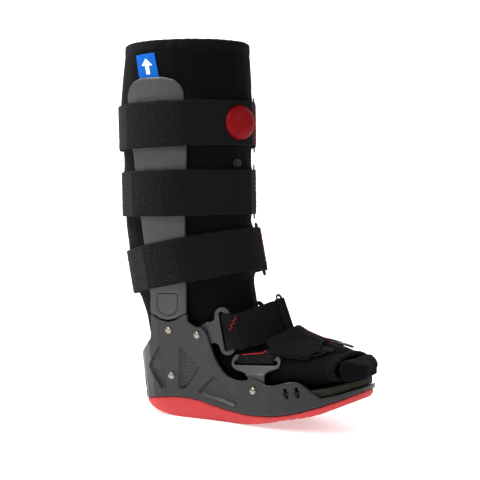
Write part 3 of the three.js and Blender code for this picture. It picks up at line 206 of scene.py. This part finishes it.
shell_plastic = moulded("shell_plastic", (0.007, 0.007, 0.0075), (0.011, 0.011, 0.012), 0.33)
upright_plastic = moulded("upright_plastic", (0.03, 0.03, 0.033), (0.044, 0.044, 0.048), 0.4)
bracket_plastic = moulded("bracket_plastic", (0.03, 0.031, 0.034), (0.044, 0.045, 0.048), 0.38)
black_plastic = moulded("black_plastic", (0.006, 0.006, 0.006), (0.01, 0.01, 0.01), 0.3)
red_rubber = moulded("red_rubber", (0.4, 0.024, 0.026), (0.48, 0.034, 0.036), 0.55, 0.8)


def bulb_finish():
    finish = Finish("bulb_rubber", Specular_IOR_Level=0.08)
    cloudy = finish.grain(12, 3)
    finish.set(Base_Color=finish.blend(
        cloudy, tone(0.13, 0.0004, 0.0016), tone(0.18, 0.0006, 0.003)))
    finish.set(Roughness=0.42 + finish.grain(4, 3) * 0.16)
    finish.bump(finish.grain(0.7, 3), 0.2, 0.12)
    return finish.material


def rivet_finish():
    finish = Finish("rivet_steel", Metallic=0.95)
    finish.set(Base_Color=finish.blend(
        finish.grain(2.5, 3), tone(0.16, 0.14, 0.115), tone(0.32, 0.285, 0.24)))
    finish.set(Roughness=0.2 + finish.grain(1.2, 4) * 0.25)
    finish.bump(finish.grain(0.5, 3), 0.15, 0.08)
    return finish.material


foam_pores = 1100.0


def foam_finish():
    finish = Finish("insole_foam", Specular_IOR_Level=0.15)
    pores = finish.node("ShaderNodeTexVoronoi", inputs={
        "Vector": finish.place(), "Scale": foam_pores})
    finish.set(Base_Color=finish.blend(
        finish.grain(6, 3), tone(0.012, 0.011, 0.0075), tone(0.022, 0.02, 0.014)))
    finish.set(Roughness=0.85)
    finish.bump(pores, 0.4, 0.25)
    return finish.material


bulb_rubber = bulb_finish()
rivet_steel = rivet_finish()
insole_foam = foam_finish()
hard_finishes = (shell_plastic, upright_plastic, bracket_plastic, black_plastic, red_rubber,
                 bulb_rubber, rivet_steel, insole_foam)
print("hard finishes:", ", ".join(made.name for made in hard_finishes))

# %% [markdown]
# Three black cloths look different because of their surface: the loop webbing is a fuzz of
# fibres that catch light as grey specks, the strap ends are smooth and tightly knitted, and
# the liner is a soft knit that swallows light. Sheen gives each its pale rim.

# %% Cloths
def cloth(name, base, speck, amount, fuzz, sheen, knit=0.9, depth=0.3):
    finish = Finish(name, Sheen_Weight=sheen, Sheen_Roughness=0.45, Specular_IOR_Level=0.06)
    fibres = finish.grain(fuzz, 4, 0.7)
    bright = finish.ramp(fibres, (0.5 - amount, 0.0), (0.78 - amount, 1.0))
    finish.set(Base_Color=finish.blend(bright, tone(*base), tone(*speck)))
    finish.set(Roughness=0.8 + fibres * 0.2)
    rows = finish.node("ShaderNodeTexWave", {"bands_direction": "Z"}, {
        "Vector": finish.place(), "Scale": 0.31 / (knit * MM), "Distortion": 1.5,
        "Detail": 1.0, "Detail Scale": 3.0})
    finish.bump(fibres * 0.75 + rows * 0.25, 0.6, depth)
    return finish.material


loop_cloth = cloth("loop_cloth", (0.002, 0.002, 0.0025), (0.027, 0.027, 0.029),
                   amount=0.04, fuzz=1.0, sheen=0.03, depth=0.8)
hook_cloth = cloth("hook_cloth", (0.0045, 0.0045, 0.005), (0.009, 0.009, 0.0098),
                   amount=0.0, fuzz=0.6, sheen=0.015, depth=0.15)
liner_cloth = cloth("liner_cloth", (0.0014, 0.0011, 0.0017), (0.0045, 0.0038, 0.005),
                    amount=0.02, fuzz=0.7, sheen=0.012, depth=0.25)
edge_cloth = cloth("edge_cloth", (0.0022, 0.0019, 0.0026), (0.007, 0.0062, 0.0078),
                   amount=0.03, fuzz=0.5, sheen=0.02, knit=1.6, depth=0.3)
thread_red = cloth("thread_red", (0.3, 0.008, 0.012), (0.5, 0.02, 0.03),
                   amount=0.1, fuzz=0.5, sheen=0.1, knit=0.4, depth=0.1)
cloths = (loop_cloth, hook_cloth, liner_cloth, edge_cloth, thread_red)
print("cloths:", ", ".join(made.name for made in cloths))

# %% [markdown]
# A solid from the model has knife edges. To soften one, its mesh is copied, rebuilt on a fine
# even grid by the voxel Remesh modifier, and relaxed a little, which rounds each edge by
# about a voxel. Displacement by noise then gives fuzz and wrinkles that are real shape.

# %% Helpers for fine meshes
def copied(node, name):
    source = nodes[node]
    mesh = source.data.copy()
    mesh.transform(source.matrix_world)
    mesh.materials.clear()
    piece = bpy.data.objects.new(name, mesh)
    bpy.context.collection.objects.link(piece)
    return piece


def applied(piece):
    """Puts the result of the piece's modifiers into its mesh."""
    bpy.context.view_layer.update()
    graph = bpy.context.evaluated_depsgraph_get()
    mesh = bpy.data.meshes.new_from_object(piece.evaluated_get(graph))
    piece.modifiers.clear()
    piece.data = mesh
    return piece


def rounded(piece, voxel, relax=3):
    grid = piece.modifiers.new("grid", "REMESH")
    grid.mode = "VOXEL"
    grid.voxel_size = voxel * MM
    ease = piece.modifiers.new("ease", "SMOOTH")
    ease.factor = 0.5
    ease.iterations = relax
    return applied(piece)


def shaped(piece, move):
    """Moves each vertex by what move(point, normal) gives."""
    mesh = piece.data
    moved = [move(v.co, v.normal) for v in mesh.vertices]
    for vertex, shift in zip(mesh.vertices, moved):
        vertex.co += shift
    mesh.update()
    return piece


def fuzzy(piece, size, depth):
    def move(point, normal):
        return normal * depth * MM * noise.fractal(point / (size * MM), 0.8, 2.0, 3)
    return shaped(piece, move)


def thinned(piece, most):
    """Merges faces where the surface is flat until that many triangles are left."""
    triangles = sum(len(polygon.vertices) - 2 for polygon in piece.data.polygons)
    if triangles > most:
        fewer = piece.modifiers.new("fewer", "DECIMATE")
        fewer.ratio = most / triangles
        applied(piece)
    return piece


def dressed(piece, material, slot, *replaced):
    """Ends a piece: smooth shading, its material, its body and the solids it stands for."""
    for polygon in piece.data.polygons:
        polygon.use_smooth = True
    piece.data.materials.clear()
    piece.data.materials.append(material)
    if replaced:
        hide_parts(*replaced)
    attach(piece, "root")
    print(piece.name, len(piece.data.polygons), "faces")
    return piece


def surface_of(*pieces):
    """A tree that finds the nearest point or the first hit on several meshes."""
    merged = bmesh.new()
    for piece in pieces:
        part = piece.data.copy()
        part.transform(piece.matrix_world)
        merged.from_mesh(part)
        bpy.data.meshes.remove(part)
    tree = BVHTree.FromBMesh(merged)
    merged.free()
    return tree


print("helpers for fine meshes are ready")

# %% [markdown]
# The sole is one red rubber rocker, softened at its lip, and a foam pad lies inside the shell.
# Bevelled edges would do as well, but a fine grid rounds the ribs of the sole evenly.

# %% Sole and insole
sole = rounded(copied("outsole", "sole_fine"), 1.5, 3)
dressed(thinned(sole, 30000), red_rubber, "sole", "outsole")

pad = rounded(copied("insole", "insole_fine"), 2.0, 3)
dressed(thinned(pad, 12000), insole_foam, "foam", "insole")

# %% [markdown]
# The shell above the sole is moulded with recessed panels. Each panel's edge is a bevel whose
# width differs from edge to edge: the wide ones along the bottom catch the light and the
# narrow ones stay dark. Cutting each panel by a boolean would leave knife edges, so the
# vertices of the fine mesh are moved in by how far they lie inside the panel's outline.

# %% Panels of the shell
leg_x = -73.0
panel_depth = 1.2
panel_extra = 1.9
# Corners ahead of the leg's line and above the floor, then the bevel of the edge that follows
panels = [
    {"corners": [(-8, 84.1), (-29.7, 55.8), (-9.8, 29), (-3.1, 34.3)],
     "bevels": [1.5, 3.4, 2, 2], "dimpled": True},
    {"corners": [(19.7, 83.6), (17.6, 77.7), (12.1, 36.2), (14.9, 31.7), (22.7, 34.7), (43, 59.2)],
     "bevels": [2, 3.4, 3.2, 3.4, 1.5, 1.5], "dimpled": True},
    {"corners": [(61.5, 52.2), (39.2, 33.2), (39.5, 29.1), (88.6, 19.1), (92.2, 24.6)],
     "bevels": [3, 2, 3.8, 2, 1.5], "dimpled": False},
]
dimple_pitch = 4.4
dimple_radius = 1.15
dimple_depth = 0.8
dimple_margin = 1.1
dimple_slope = 1.8
row_squeeze = 1.15
shell_most = 150000


def edge_distances(point, corners):
    """Distances from a point to a polygon's edges, positive inside."""
    area = sum(a[0] * b[1] - b[0] * a[1] for a, b in zip(corners, corners[1:] + corners[:1]))
    turn = 1 if area > 0 else -1
    distances = []
    for a, b in zip(corners, corners[1:] + corners[:1]):
        along = Vector(b) - Vector(a)
        off = Vector(point) - Vector(a)
        distances.append(turn * (along.x * off.y - along.y * off.x) / along.length)
    return distances


def dimple(x, z):
    row = round(z / dimple_pitch * row_squeeze)
    shift = dimple_pitch / 2 if row % 2 else 0
    column = round((x - shift) / dimple_pitch)
    away = math.hypot(x - shift - column * dimple_pitch, z - row * dimple_pitch / row_squeeze)
    return max(0.0, 1 - away / dimple_radius)


def panel_shift(point, normal):
    side = 1 if point.y > 0 else -1
    if normal.y * side < 0.05:
        return Vector()
    x = point.x / MM - leg_x
    z = point.z / MM
    for panel in panels:
        distances = edge_distances((x, z), panel["corners"])
        if min(distances) <= 0:
            continue
        edges = list(zip(distances, panel["bevels"]))
        fill = max(max(0.0, 1 - away / width) for away, width in edges)
        height = fill * (panel_depth + panel_extra) - panel_extra
        if panel["dimpled"] and min(away - width for away, width in edges) > -dimple_margin:
            height -= dimple_depth * min(1.0, dimple_slope * dimple(x, z))
        return Vector((0, side * height * MM, 0))
    return Vector()


shell = shaped(rounded(copied("base_shell", "shell_fine"), 0.85, 2), panel_shift)
dressed(thinned(shell, shell_most), shell_plastic, "shell", "base_shell")

# %% [markdown]
# The uprights are flat springy plates. Where each strap runs over them there is a shallow
# recess, whose upper edge shows as a fine line just above the two upper straps.

# %% Uprights, snap buttons and brackets
upright_most = 34000
recess_depth = 0.7
recess_half = 31.0
recess_margin = 9.0
recess_curve = 0.12
recess_middle = {"upper": -10, "middle": 0}
# Height of each calf strap where it crosses the leg's line, and its tilt in degrees
calf_levels = {"upper": (333.9, 1.5), "middle": (256.65, 1.2), "lower": (176.0, 11.3)}


def recess_shift(point, normal):
    side = 1 if point.y > 0 else -1
    if normal.y * side < 0.3:
        return Vector()
    x = point.x / MM - leg_x
    for strap, middle in recess_middle.items():
        level, tilt = calf_levels[strap]
        above = point.z / MM - level - x * math.tan(math.radians(tilt))
        half = recess_half - recess_curve * max(0, abs(x - middle) - recess_margin) ** 2
        if 0 < above < half:
            return Vector((0, -side * recess_depth * MM, 0))
    return Vector()


for side in ("near", "far"):
    plate = shaped(rounded(copied(f"upright_{side}", f"upright_{side}_fine"), 1.2, 3), recess_shift)
    dressed(thinned(plate, upright_most), upright_plastic, "upright", f"upright_{side}")
    button = rounded(copied(f"lock_button_{side}", f"lock_button_{side}_fine"), 0.8, 2)
    dressed(button, upright_plastic, "upright", f"lock_button_{side}")
    for name in ("ankle_bracket", "forefoot_bracket"):
        bracket = rounded(copied(f"{name}_{side}", f"{name}_{side}_fine"), 0.75, 3)
        dressed(bracket, bracket_plastic, "plate", f"{name}_{side}")

# %% [markdown]
# The rivets are domed steel studs, four a side. A finer grid than the plates' keeps their small
# domes round.

# %% Rivets
for name in ("upright", "ankle", "heel", "forefoot"):
    for side in ("near", "far"):
        head = rounded(copied(f"rivet_{name}_{side}", f"rivet_{name}_{side}_fine"), 0.45, 3)
        dressed(head, rivet_steel, "steel", f"rivet_{name}_{side}")

# %% [markdown]
# On a foot the soft parts over the instep sink back towards the ankle. One smooth field of
# movement does that for the liner and for the straps alike, so they stay in touch, and it
# fades out where the straps reach their brackets.

# %% Sinking of the instep
sink_depth = 17.0
sink_rise = (12.0, 62.0)
sink_more = 9.0
sink_front = (80.0, 110.0)
sink_far_more = 10.0
sink_far = (6.0, 24.0)
sink_side = (36.0, 56.0)
sink_low = (84.0, 97.0)
sink_high = (146.0, 180.0)


def ramp_between(value, low, high):
    share = min(1.0, max(0.0, (value - low) / (high - low)))
    return share * share * (3 - 2 * share)


def sink(point, normal):
    x, y, z = (value / MM for value in point)
    share = ramp_between(x, *sink_rise)
    share *= 1 - ramp_between(abs(y), *sink_side)
    share *= ramp_between(z, *sink_low) * (1 - ramp_between(z, *sink_high))
    depth = sink_depth + sink_more * ramp_between(x, *sink_front)
    depth += sink_far_more * ramp_between(y, *sink_far)
    return Vector((-depth * share * MM, 0, 0))


# %% [markdown]
# A strap that is pulled tight lies close to the shin. Whatever stands off at the front corner
# of the leg, at the two upper straps, is drawn in by half with the liner under it.

# %% Tightening of the upper straps
tight_from = 8.9
tight_share = 0.5
tight_low = (220.0, 228.0)
tight_high = (372.0, 385.0)
shin_out = Vector((math.cos(math.radians(30)), math.sin(math.radians(30)), 0))


def tightened(point, normal):
    over = point.dot(shin_out) / MM - tight_from
    level = point.z / MM
    if over <= 0:
        return Vector()
    share = ramp_between(level, *tight_low) * (1 - ramp_between(level, *tight_high))
    return shin_out * (-tight_share * share * over * MM)


# %% [markdown]
# The liner is a padded sock. It is blown up a little as cloth, held fast wherever a strap, an
# upright or the shell presses on it, so that it swells only in the bare stretches between.

# %% Swelling of the liner
held_nodes = [nodes[name] for name in nodes if name.startswith(
    ("calf", "upright", "base", "instep", "forefoot", "ankle", "pump", "pull", "air", "insole",
     "top", "toe"))]
holders = surface_of(*held_nodes)
liner_voxel = 3.2
liner_pressure = 3.0
liner_swell = 3.0
hold_near = 7.0
hold_far = 14.0


def padded_by_cloth(piece, pressure, swell, steps=20):
    """Blows the piece up as cloth, held where other parts press on it, and caps the swelling."""
    start = [v.co.copy() for v in piece.data.vertices]
    group = piece.vertex_groups.new(name="held")
    for vertex in piece.data.vertices:
        distance = holders.find_nearest(vertex.co)[3] / MM
        weight = 1 - min(1, max(0, (distance - hold_near) / (hold_far - hold_near)))
        group.add([vertex.index], weight, "REPLACE")
    cloth_modifier = piece.modifiers.new("cloth", "CLOTH")
    settings = cloth_modifier.settings
    settings.quality = 4
    settings.mass = 0.3
    settings.tension_stiffness = 8
    settings.bending_stiffness = 2
    settings.vertex_group_mass = "held"
    settings.use_pressure = True
    settings.uniform_pressure_force = pressure
    settings.effector_weights.gravity = 0
    for step in range(1, steps + 1):
        bpy.context.scene.frame_set(step)
    applied(piece)
    bpy.context.scene.frame_set(1)
    for vertex, origin in zip(piece.data.vertices, start):
        shift = vertex.co - origin
        if shift.length > swell * MM:
            vertex.co = origin + shift.normalized() * swell * MM
    piece.vertex_groups.clear()
    return piece


print("pieces that hold the liner:", len(held_nodes))

# %% [markdown]
# Under a strap that stands off it, soft padding fills the hollow. Rays along the liner's
# normals find the strap and say how far the padding may rise. The rise is then evened out
# over neighbours, so that it has no steps.

# %% Padding under the straps
def pressed_out(piece, reach, clearance, rounds):
    """Lets the padding fill the hollow under each strap that stands off it."""
    mesh = piece.data
    room = []
    push = []
    for vertex in mesh.vertices:
        start = vertex.co + vertex.normal * MM
        hit, _, _, distance = straps.ray_cast(start, vertex.normal, reach * MM)
        gap = reach if hit is None else max(0.0, distance / MM + 1 - clearance)
        room.append(gap)
        push.append(0.0 if hit is None else gap)
    for _ in range(rounds):
        total = [value * 2 for value in push]
        count = [2] * len(push)
        for a, b in (edge.vertices for edge in mesh.edges):
            total[a] += push[b]
            total[b] += push[a]
            count[a] += 1
            count[b] += 1
        push = [min(t / c, limit) for t, c, limit in zip(total, count, room)]
    moved = [v.normal * (amount * MM) for v, amount in zip(mesh.vertices, push)]
    for vertex, shift in zip(mesh.vertices, moved):
        vertex.co += shift
    mesh.update()
    return piece


strap_nodes = [nodes[name] for name in nodes if name.startswith(
    ("calf_strap", "calf_tab", "pump_pouch", "instep", "forefoot_strap", "forefoot_tab",
     "forefoot_keeper"))]
straps = surface_of(*strap_nodes)
liner = rounded(copied("liner", "liner_fine"), liner_voxel, 2)
padded_by_cloth(liner, liner_pressure, liner_swell)
pressed_out(liner, 11.0, 1.0, 8)
shaped(liner, sink)
shaped(liner, tightened)
dressed(liner, liner_cloth, "liner", "liner")

# %% [markdown]
# A tape is folded over the liner's two open edges. The model holds the roll at the very edge,
# so its copy is drawn out along the liner, and ends in a thin lip that overlaps it.

# %% Bindings
binding_width = 5.5


def drawn_out(piece, axis):
    """Stretches the half of a rolled edge that faces down or back over the liner."""
    values = [v.co[axis] for v in piece.data.vertices]
    middle = (min(values) + max(values)) / 2
    def move(point, normal):
        shift = Vector()
        if point[axis] < middle:
            shift[axis] = -binding_width * MM
        return shift
    return shaped(piece, move)


top_roll = drawn_out(rounded(copied("top_binding", "top_binding_fine"), 1.5, 3), 2)
toe_roll = drawn_out(rounded(copied("toe_binding", "toe_binding_fine"), 1.3, 3), 0)
for name, roll in (("top_binding", top_roll), ("toe_binding", toe_roll)):
    dressed(fuzzy(roll, 5, 0.4), edge_cloth, "binding", name)

# %% [markdown]
# The toe flap is padding sewn between two cloths. It bulges above and below the seam that
# runs round its rim.

# %% Toe flap
seam_share = 0.42
seam_depth = 1.3
seam_half = 4.0
flap_wider = 0.12
flap_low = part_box("toe_flap")[0][2] / MM
flap_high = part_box("toe_flap")[1][2] / MM


def seam_shift(point, normal):
    level = flap_low + seam_share * (flap_high - flap_low)
    near = max(0.0, 1 - abs(point.z / MM - level) / seam_half)
    return Vector((normal.x, normal.y, 0)) * -seam_depth * MM * near


def widen(point, normal):
    return Vector((0, point.y * flap_wider, 0))


flap = shaped(rounded(copied("toe_flap", "toe_flap_fine"), 1.5, 8), seam_shift)
shaped(flap, widen)
dressed(fuzzy(flap, 18, 0.8), liner_cloth, "liner", "toe_flap")

# %% [markdown]
# The long straps are fuzzy loop webbing, and their ends are smooth. Both are thin, so they
# are rebuilt on a fine grid, and the loop webbing is roughened all over.

# %% Straps and rings
strap_names = ["calf_strap_upper", "calf_strap_middle", "calf_strap_lower", "instep_strap",
               "instep_keeper", "forefoot_strap", "forefoot_keeper"]
end_names = ["pump_pouch", "calf_tab_middle", "calf_tab_lower", "instep_tab", "forefoot_tab"]
ring_names = ["calf_ring_upper", "calf_ring_middle", "calf_ring_lower", "instep_ring",
              "forefoot_ring"]
foot_names = ("instep", "forefoot_strap", "forefoot_tab", "forefoot_keeper", "forefoot_ring")
loop_voxel = 1.15
loop_most = 60000
end_voxel = 0.9
end_most = 35000
wire_voxel = 0.6
bands = {}


def settled(name, voxel, relax):
    """A strap, tab or ring on a fine grid, which follows the sunk instep and the tight shin."""
    piece = rounded(copied(name, f"{name}_fine"), voxel, relax)
    if name.startswith(foot_names):
        shaped(piece, sink)
    return shaped(piece, tightened)


for name in strap_names:
    band = thinned(fuzzy(settled(name, loop_voxel, 2), 2.4, 0.45), loop_most)
    bands[name] = dressed(band, loop_cloth, "loop", name)
for name in end_names:
    relax = 40 if name.startswith("forefoot") else 3
    band = thinned(fuzzy(settled(name, end_voxel, relax), 9, 0.25), end_most)
    bands[name] = dressed(band, hook_cloth, "hook", name)
for name in ring_names:
    dressed(settled(name, wire_voxel, 3), black_plastic, "wire", name)

# %% [markdown]
# Red thread holds each strap's end round its ring in zigzag rows. The rows are laid out by
# rays that are shot at the strap from outside, so the thread lies on the cloth.

# %% Red stitching
thread_radius = 0.5
thread_off = 0.25


def laid(tree, rays):
    """Points where the rays first meet the surface, a little off it."""
    points = []
    for origin, direction in rays:
        hit, normal, _, _ = tree.ray_cast(origin, direction)
        if hit is not None:
            if normal.dot(direction) > 0:
                normal = -normal
            points.append(hit + normal * thread_off * MM)
    return points


def stitched(name, rows, host):
    """One mesh of round thread along several rows of points."""
    curve = bpy.data.curves.new(name, "CURVE")
    curve.dimensions = "3D"
    curve.bevel_depth = thread_radius * MM
    curve.bevel_resolution = 1
    for points in rows:
        if len(points) < 2:
            continue
        spline = curve.splines.new("POLY")
        spline.points.add(len(points) - 1)
        for end, point in zip(spline.points, points):
            end.co = (*point, 1)
    thread = bpy.data.objects.new(name, curve)
    bpy.context.collection.objects.link(thread)
    bpy.context.view_layer.update()
    graph = bpy.context.evaluated_depsgraph_get()
    mesh = bpy.data.meshes.new_from_object(thread.evaluated_get(graph))
    bpy.data.objects.remove(thread)
    piece = bpy.data.objects.new(name, mesh)
    bpy.context.collection.objects.link(piece)
    return dressed(piece, thread_red, host)


calf_rows = [
    {"band": "pump_pouch", "strap": "upper", "columns": [(11, 14.5), (16, 19.5)]},
    {"band": "calf_tab_middle", "strap": "middle", "columns": [(13, 18)]},
    {"band": "calf_tab_lower", "strap": "lower", "columns": [(13, 18)]},
]
calf_half = 22.0
stitch_pitch = 2.6
ray_start = 0.25


def ray_round_leg(angle, height, tilt):
    turn = math.radians(angle)
    out = Vector((math.cos(turn), math.sin(turn), 0))
    axis = Vector((leg_x * MM, 0.3 * MM, height * MM))
    rise = math.tan(math.radians(tilt)) * out.x
    direction = -Vector((out.x, out.y, rise)).normalized()
    return axis - direction * ray_start, direction


for row in calf_rows:
    level, tilt = calf_levels[row["strap"]]
    threads = []
    for first, second in row["columns"]:
        rays = []
        for k in range(int(2 * calf_half / stitch_pitch) + 1):
            height = level - calf_half + k * stitch_pitch
            rays.append(ray_round_leg(first if k % 2 else second, height, tilt))
        threads.append(laid(surface_of(bands[row["band"]]), rays))
    stitched(f"{row['band']}_stitches", threads, "hook")

# %% [markdown]
# On the foot the rows run beside the brackets and along the end of the forefoot tab. Each row
# is a straight line in space that swings to both sides, and rays drop it on the cloth.

# %% Stitching of the foot straps
def zigzag(tree, start, end, swing, ray_from, direction):
    """A row of stitches from start to end that swings to both sides, laid down along a ray."""
    along = Vector(end) - Vector(start)
    steps = max(2, int(along.length / stitch_pitch))
    rays = []
    for k in range(steps + 1):
        point = Vector(start) + along * (k / steps) + Vector(swing) * (0.5 if k % 2 else -0.5)
        rays.append(((point + Vector(ray_from)) * MM, Vector(direction)))
    return laid(tree, rays)


def box_mm(name):
    return [Vector(corner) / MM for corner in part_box(name)]


from_side = ((0, -60, 0), (0, 1, 0))
from_above = ((0, 0, 60), (0, 0, -1))
# Ends of each row ahead of and above the bracket's upper front corner
side_rows = [
    {"band": "forefoot_strap", "bracket": "forefoot_bracket_near",
     "ends": [(-48, -1.4), (-4, 4.6)], "swing": (0, 0, 2.4)},
    {"band": "instep_strap", "bracket": "ankle_bracket_near",
     "ends": [(0, -10), (-5, -25)], "swing": (2.2, 0, 0)},
]
for row in side_rows:
    low, high = box_mm(row["bracket"])
    start, end = [(high.x + ahead, low.y, high.z + above) for ahead, above in row["ends"]]
    tree = surface_of(bands[row["band"]])
    thread = zigzag(tree, start, end, row["swing"], *from_side)
    stitched(f"{row['band']}_stitches", [thread], "hook")

low, high = box_mm("forefoot_ring")
tab_swing = 5.0
tab_rows = (2, 9)
tree = surface_of(bands["forefoot_tab"])
threads = []
for away in tab_rows:
    start = (low.x - sink_depth, low.y - away, high.z)
    end = (high.x - sink_depth - sink_more, low.y - away, high.z)
    threads.append(zigzag(tree, start, end, (0, tab_swing, 0), *from_above))
stitched("forefoot_tab_stitches", threads, "hook")
print("stitches laid in the tab's rows:", [len(thread) for thread in threads])

# %% [markdown]
# The pump is a red rubber dome on the upper strap, and a small black valve sits below it. The
# tag is a blue tape with a plain arrow that points up. The arrow is made of shader nodes: a
# head whose half width grows with the way down, and a stem of even width.

# %% Bulb, valve and tag
bulb = rounded(copied("pump_bulb", "pump_bulb_fine"), 0.8, 4)
dressed(bulb, bulb_rubber, "bulb", "pump_bulb")
valve = rounded(copied("air_valve", "air_valve_fine"), 0.35, 2)
dressed(valve, black_plastic, "wire", "air_valve")


tag_lean = math.tan(math.radians(15))
tag_middle = 14.5
arrow_top = 6
arrow_neck = 14
arrow_foot = 24
stem_half = 2.6
stem_top = 13


def tag_finish():
    finish = Finish("tag_tape", Specular_IOR_Level=0.1)
    low = Vector(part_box("pull_tag")[0])
    high = Vector(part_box("pull_tag")[1])
    across = (finish.split("X") + (finish.split("Z") - high.z) * tag_lean
              - (low.x + tag_middle * MM))
    aside = finish.node("ShaderNodeMath", {"operation": "ABSOLUTE"}, {0: across})
    down = high.z - finish.split("Z")
    head = (aside < (down - arrow_top * MM)) * (down < arrow_neck * MM)
    stem = (aside < stem_half * MM) * (down < arrow_foot * MM) * (down > stem_top * MM)
    arrow = finish.node("ShaderNodeMath", {"operation": "MAXIMUM"}, {0: head, 1: stem})
    weave = finish.grain(0.6, 2)
    blue = finish.blend(weave, tone(0.0, 0.07, 0.33), tone(0.0, 0.1, 0.42))
    finish.set(Base_Color=finish.blend(arrow, blue, tone(0.85, 0.87, 0.9)))
    finish.set(Roughness=0.55 + weave * 0.2)
    finish.bump(weave, 0.4, 0.15)
    return finish.material


tag = copied("pull_tag", "pull_tag_fine")
dressed(tag, tag_finish(), "tag", "pull_tag")

# %% [markdown]
# The background is a white sweep: a floor that curves up behind the boot. It glows a little,
# so that it stays white where no lamp reaches, and it still takes a soft shadow and a faint
# reflection of the red sole. The surround is dim, which keeps the black cloth black.

# %% Sweep and light
sweep_half = 3.0
sweep_near = -2.4
sweep_far = 1.6
sweep_round = 0.8
sweep_steps = 16
sweep_top = 3.0
profile = [(sweep_near, 0.0)]
for step in range(sweep_steps + 1):
    turn = math.pi / 2 * step / sweep_steps
    profile.append((sweep_far + sweep_round * math.sin(turn), sweep_round * (1 - math.cos(turn))))
profile.append((sweep_far + sweep_round, sweep_top))

view_right = Vector((math.cos(camera_azimuth), math.sin(camera_azimuth), 0))
view_deep = Vector((-math.sin(camera_azimuth), math.cos(camera_azimuth), 0))
corners = []
for deep, height in profile:
    for side in (-sweep_half, sweep_half):
        corners.append(view_right * side + view_deep * deep + Vector((0, 0, height)))
strips = [(2 * i, 2 * i + 1, 2 * i + 3, 2 * i + 2) for i in range(len(profile) - 1)]
floor_mesh = bpy.data.meshes.new("sweep")
floor_mesh.from_pydata(corners, [], strips)
for polygon in floor_mesh.polygons:
    polygon.use_smooth = True
floor = bpy.data.objects.new("sweep", floor_mesh)
bpy.context.collection.objects.link(floor)
paper = Finish("paper", Base_Color=tone(0.86, 0.86, 0.86), Roughness=0.3, Specular_IOR_Level=0.35,
               Emission_Color=tone(1, 1, 1), Emission_Strength=0.46)
floor_mesh.materials.append(paper.material)

world = bpy.data.worlds.new("surround")
world.use_nodes = True
surround = world.node_tree.nodes["Background"]
surround.inputs["Color"].default_value = tone(1, 1, 1)
surround.inputs["Strength"].default_value = 0.36
bpy.context.scene.world = world


lamp_aim = Vector((0, 0, 0.2))


def lamp(name, place, size, power):
    data = bpy.data.lights.new(name, "AREA")
    data.energy = power
    data.size = size
    light = bpy.data.objects.new(name, data)
    light.location = place
    light.rotation_euler = (Vector(place) - lamp_aim).to_track_quat("Z", "Y").to_euler()
    bpy.context.collection.objects.link(light)


lamp("key", (-0.6, -1.5, 1.5), 0.8, 22)
lamp("side", (1.7, -0.3, 1.2), 0.9, 12)
lamp("top", (-1.0, -0.3, 1.85), 0.5, 60)
bpy.context.scene.view_settings.view_transform = "Standard"
print("lamps:", len(bpy.data.lights), "strips in the sweep:", len(strips))
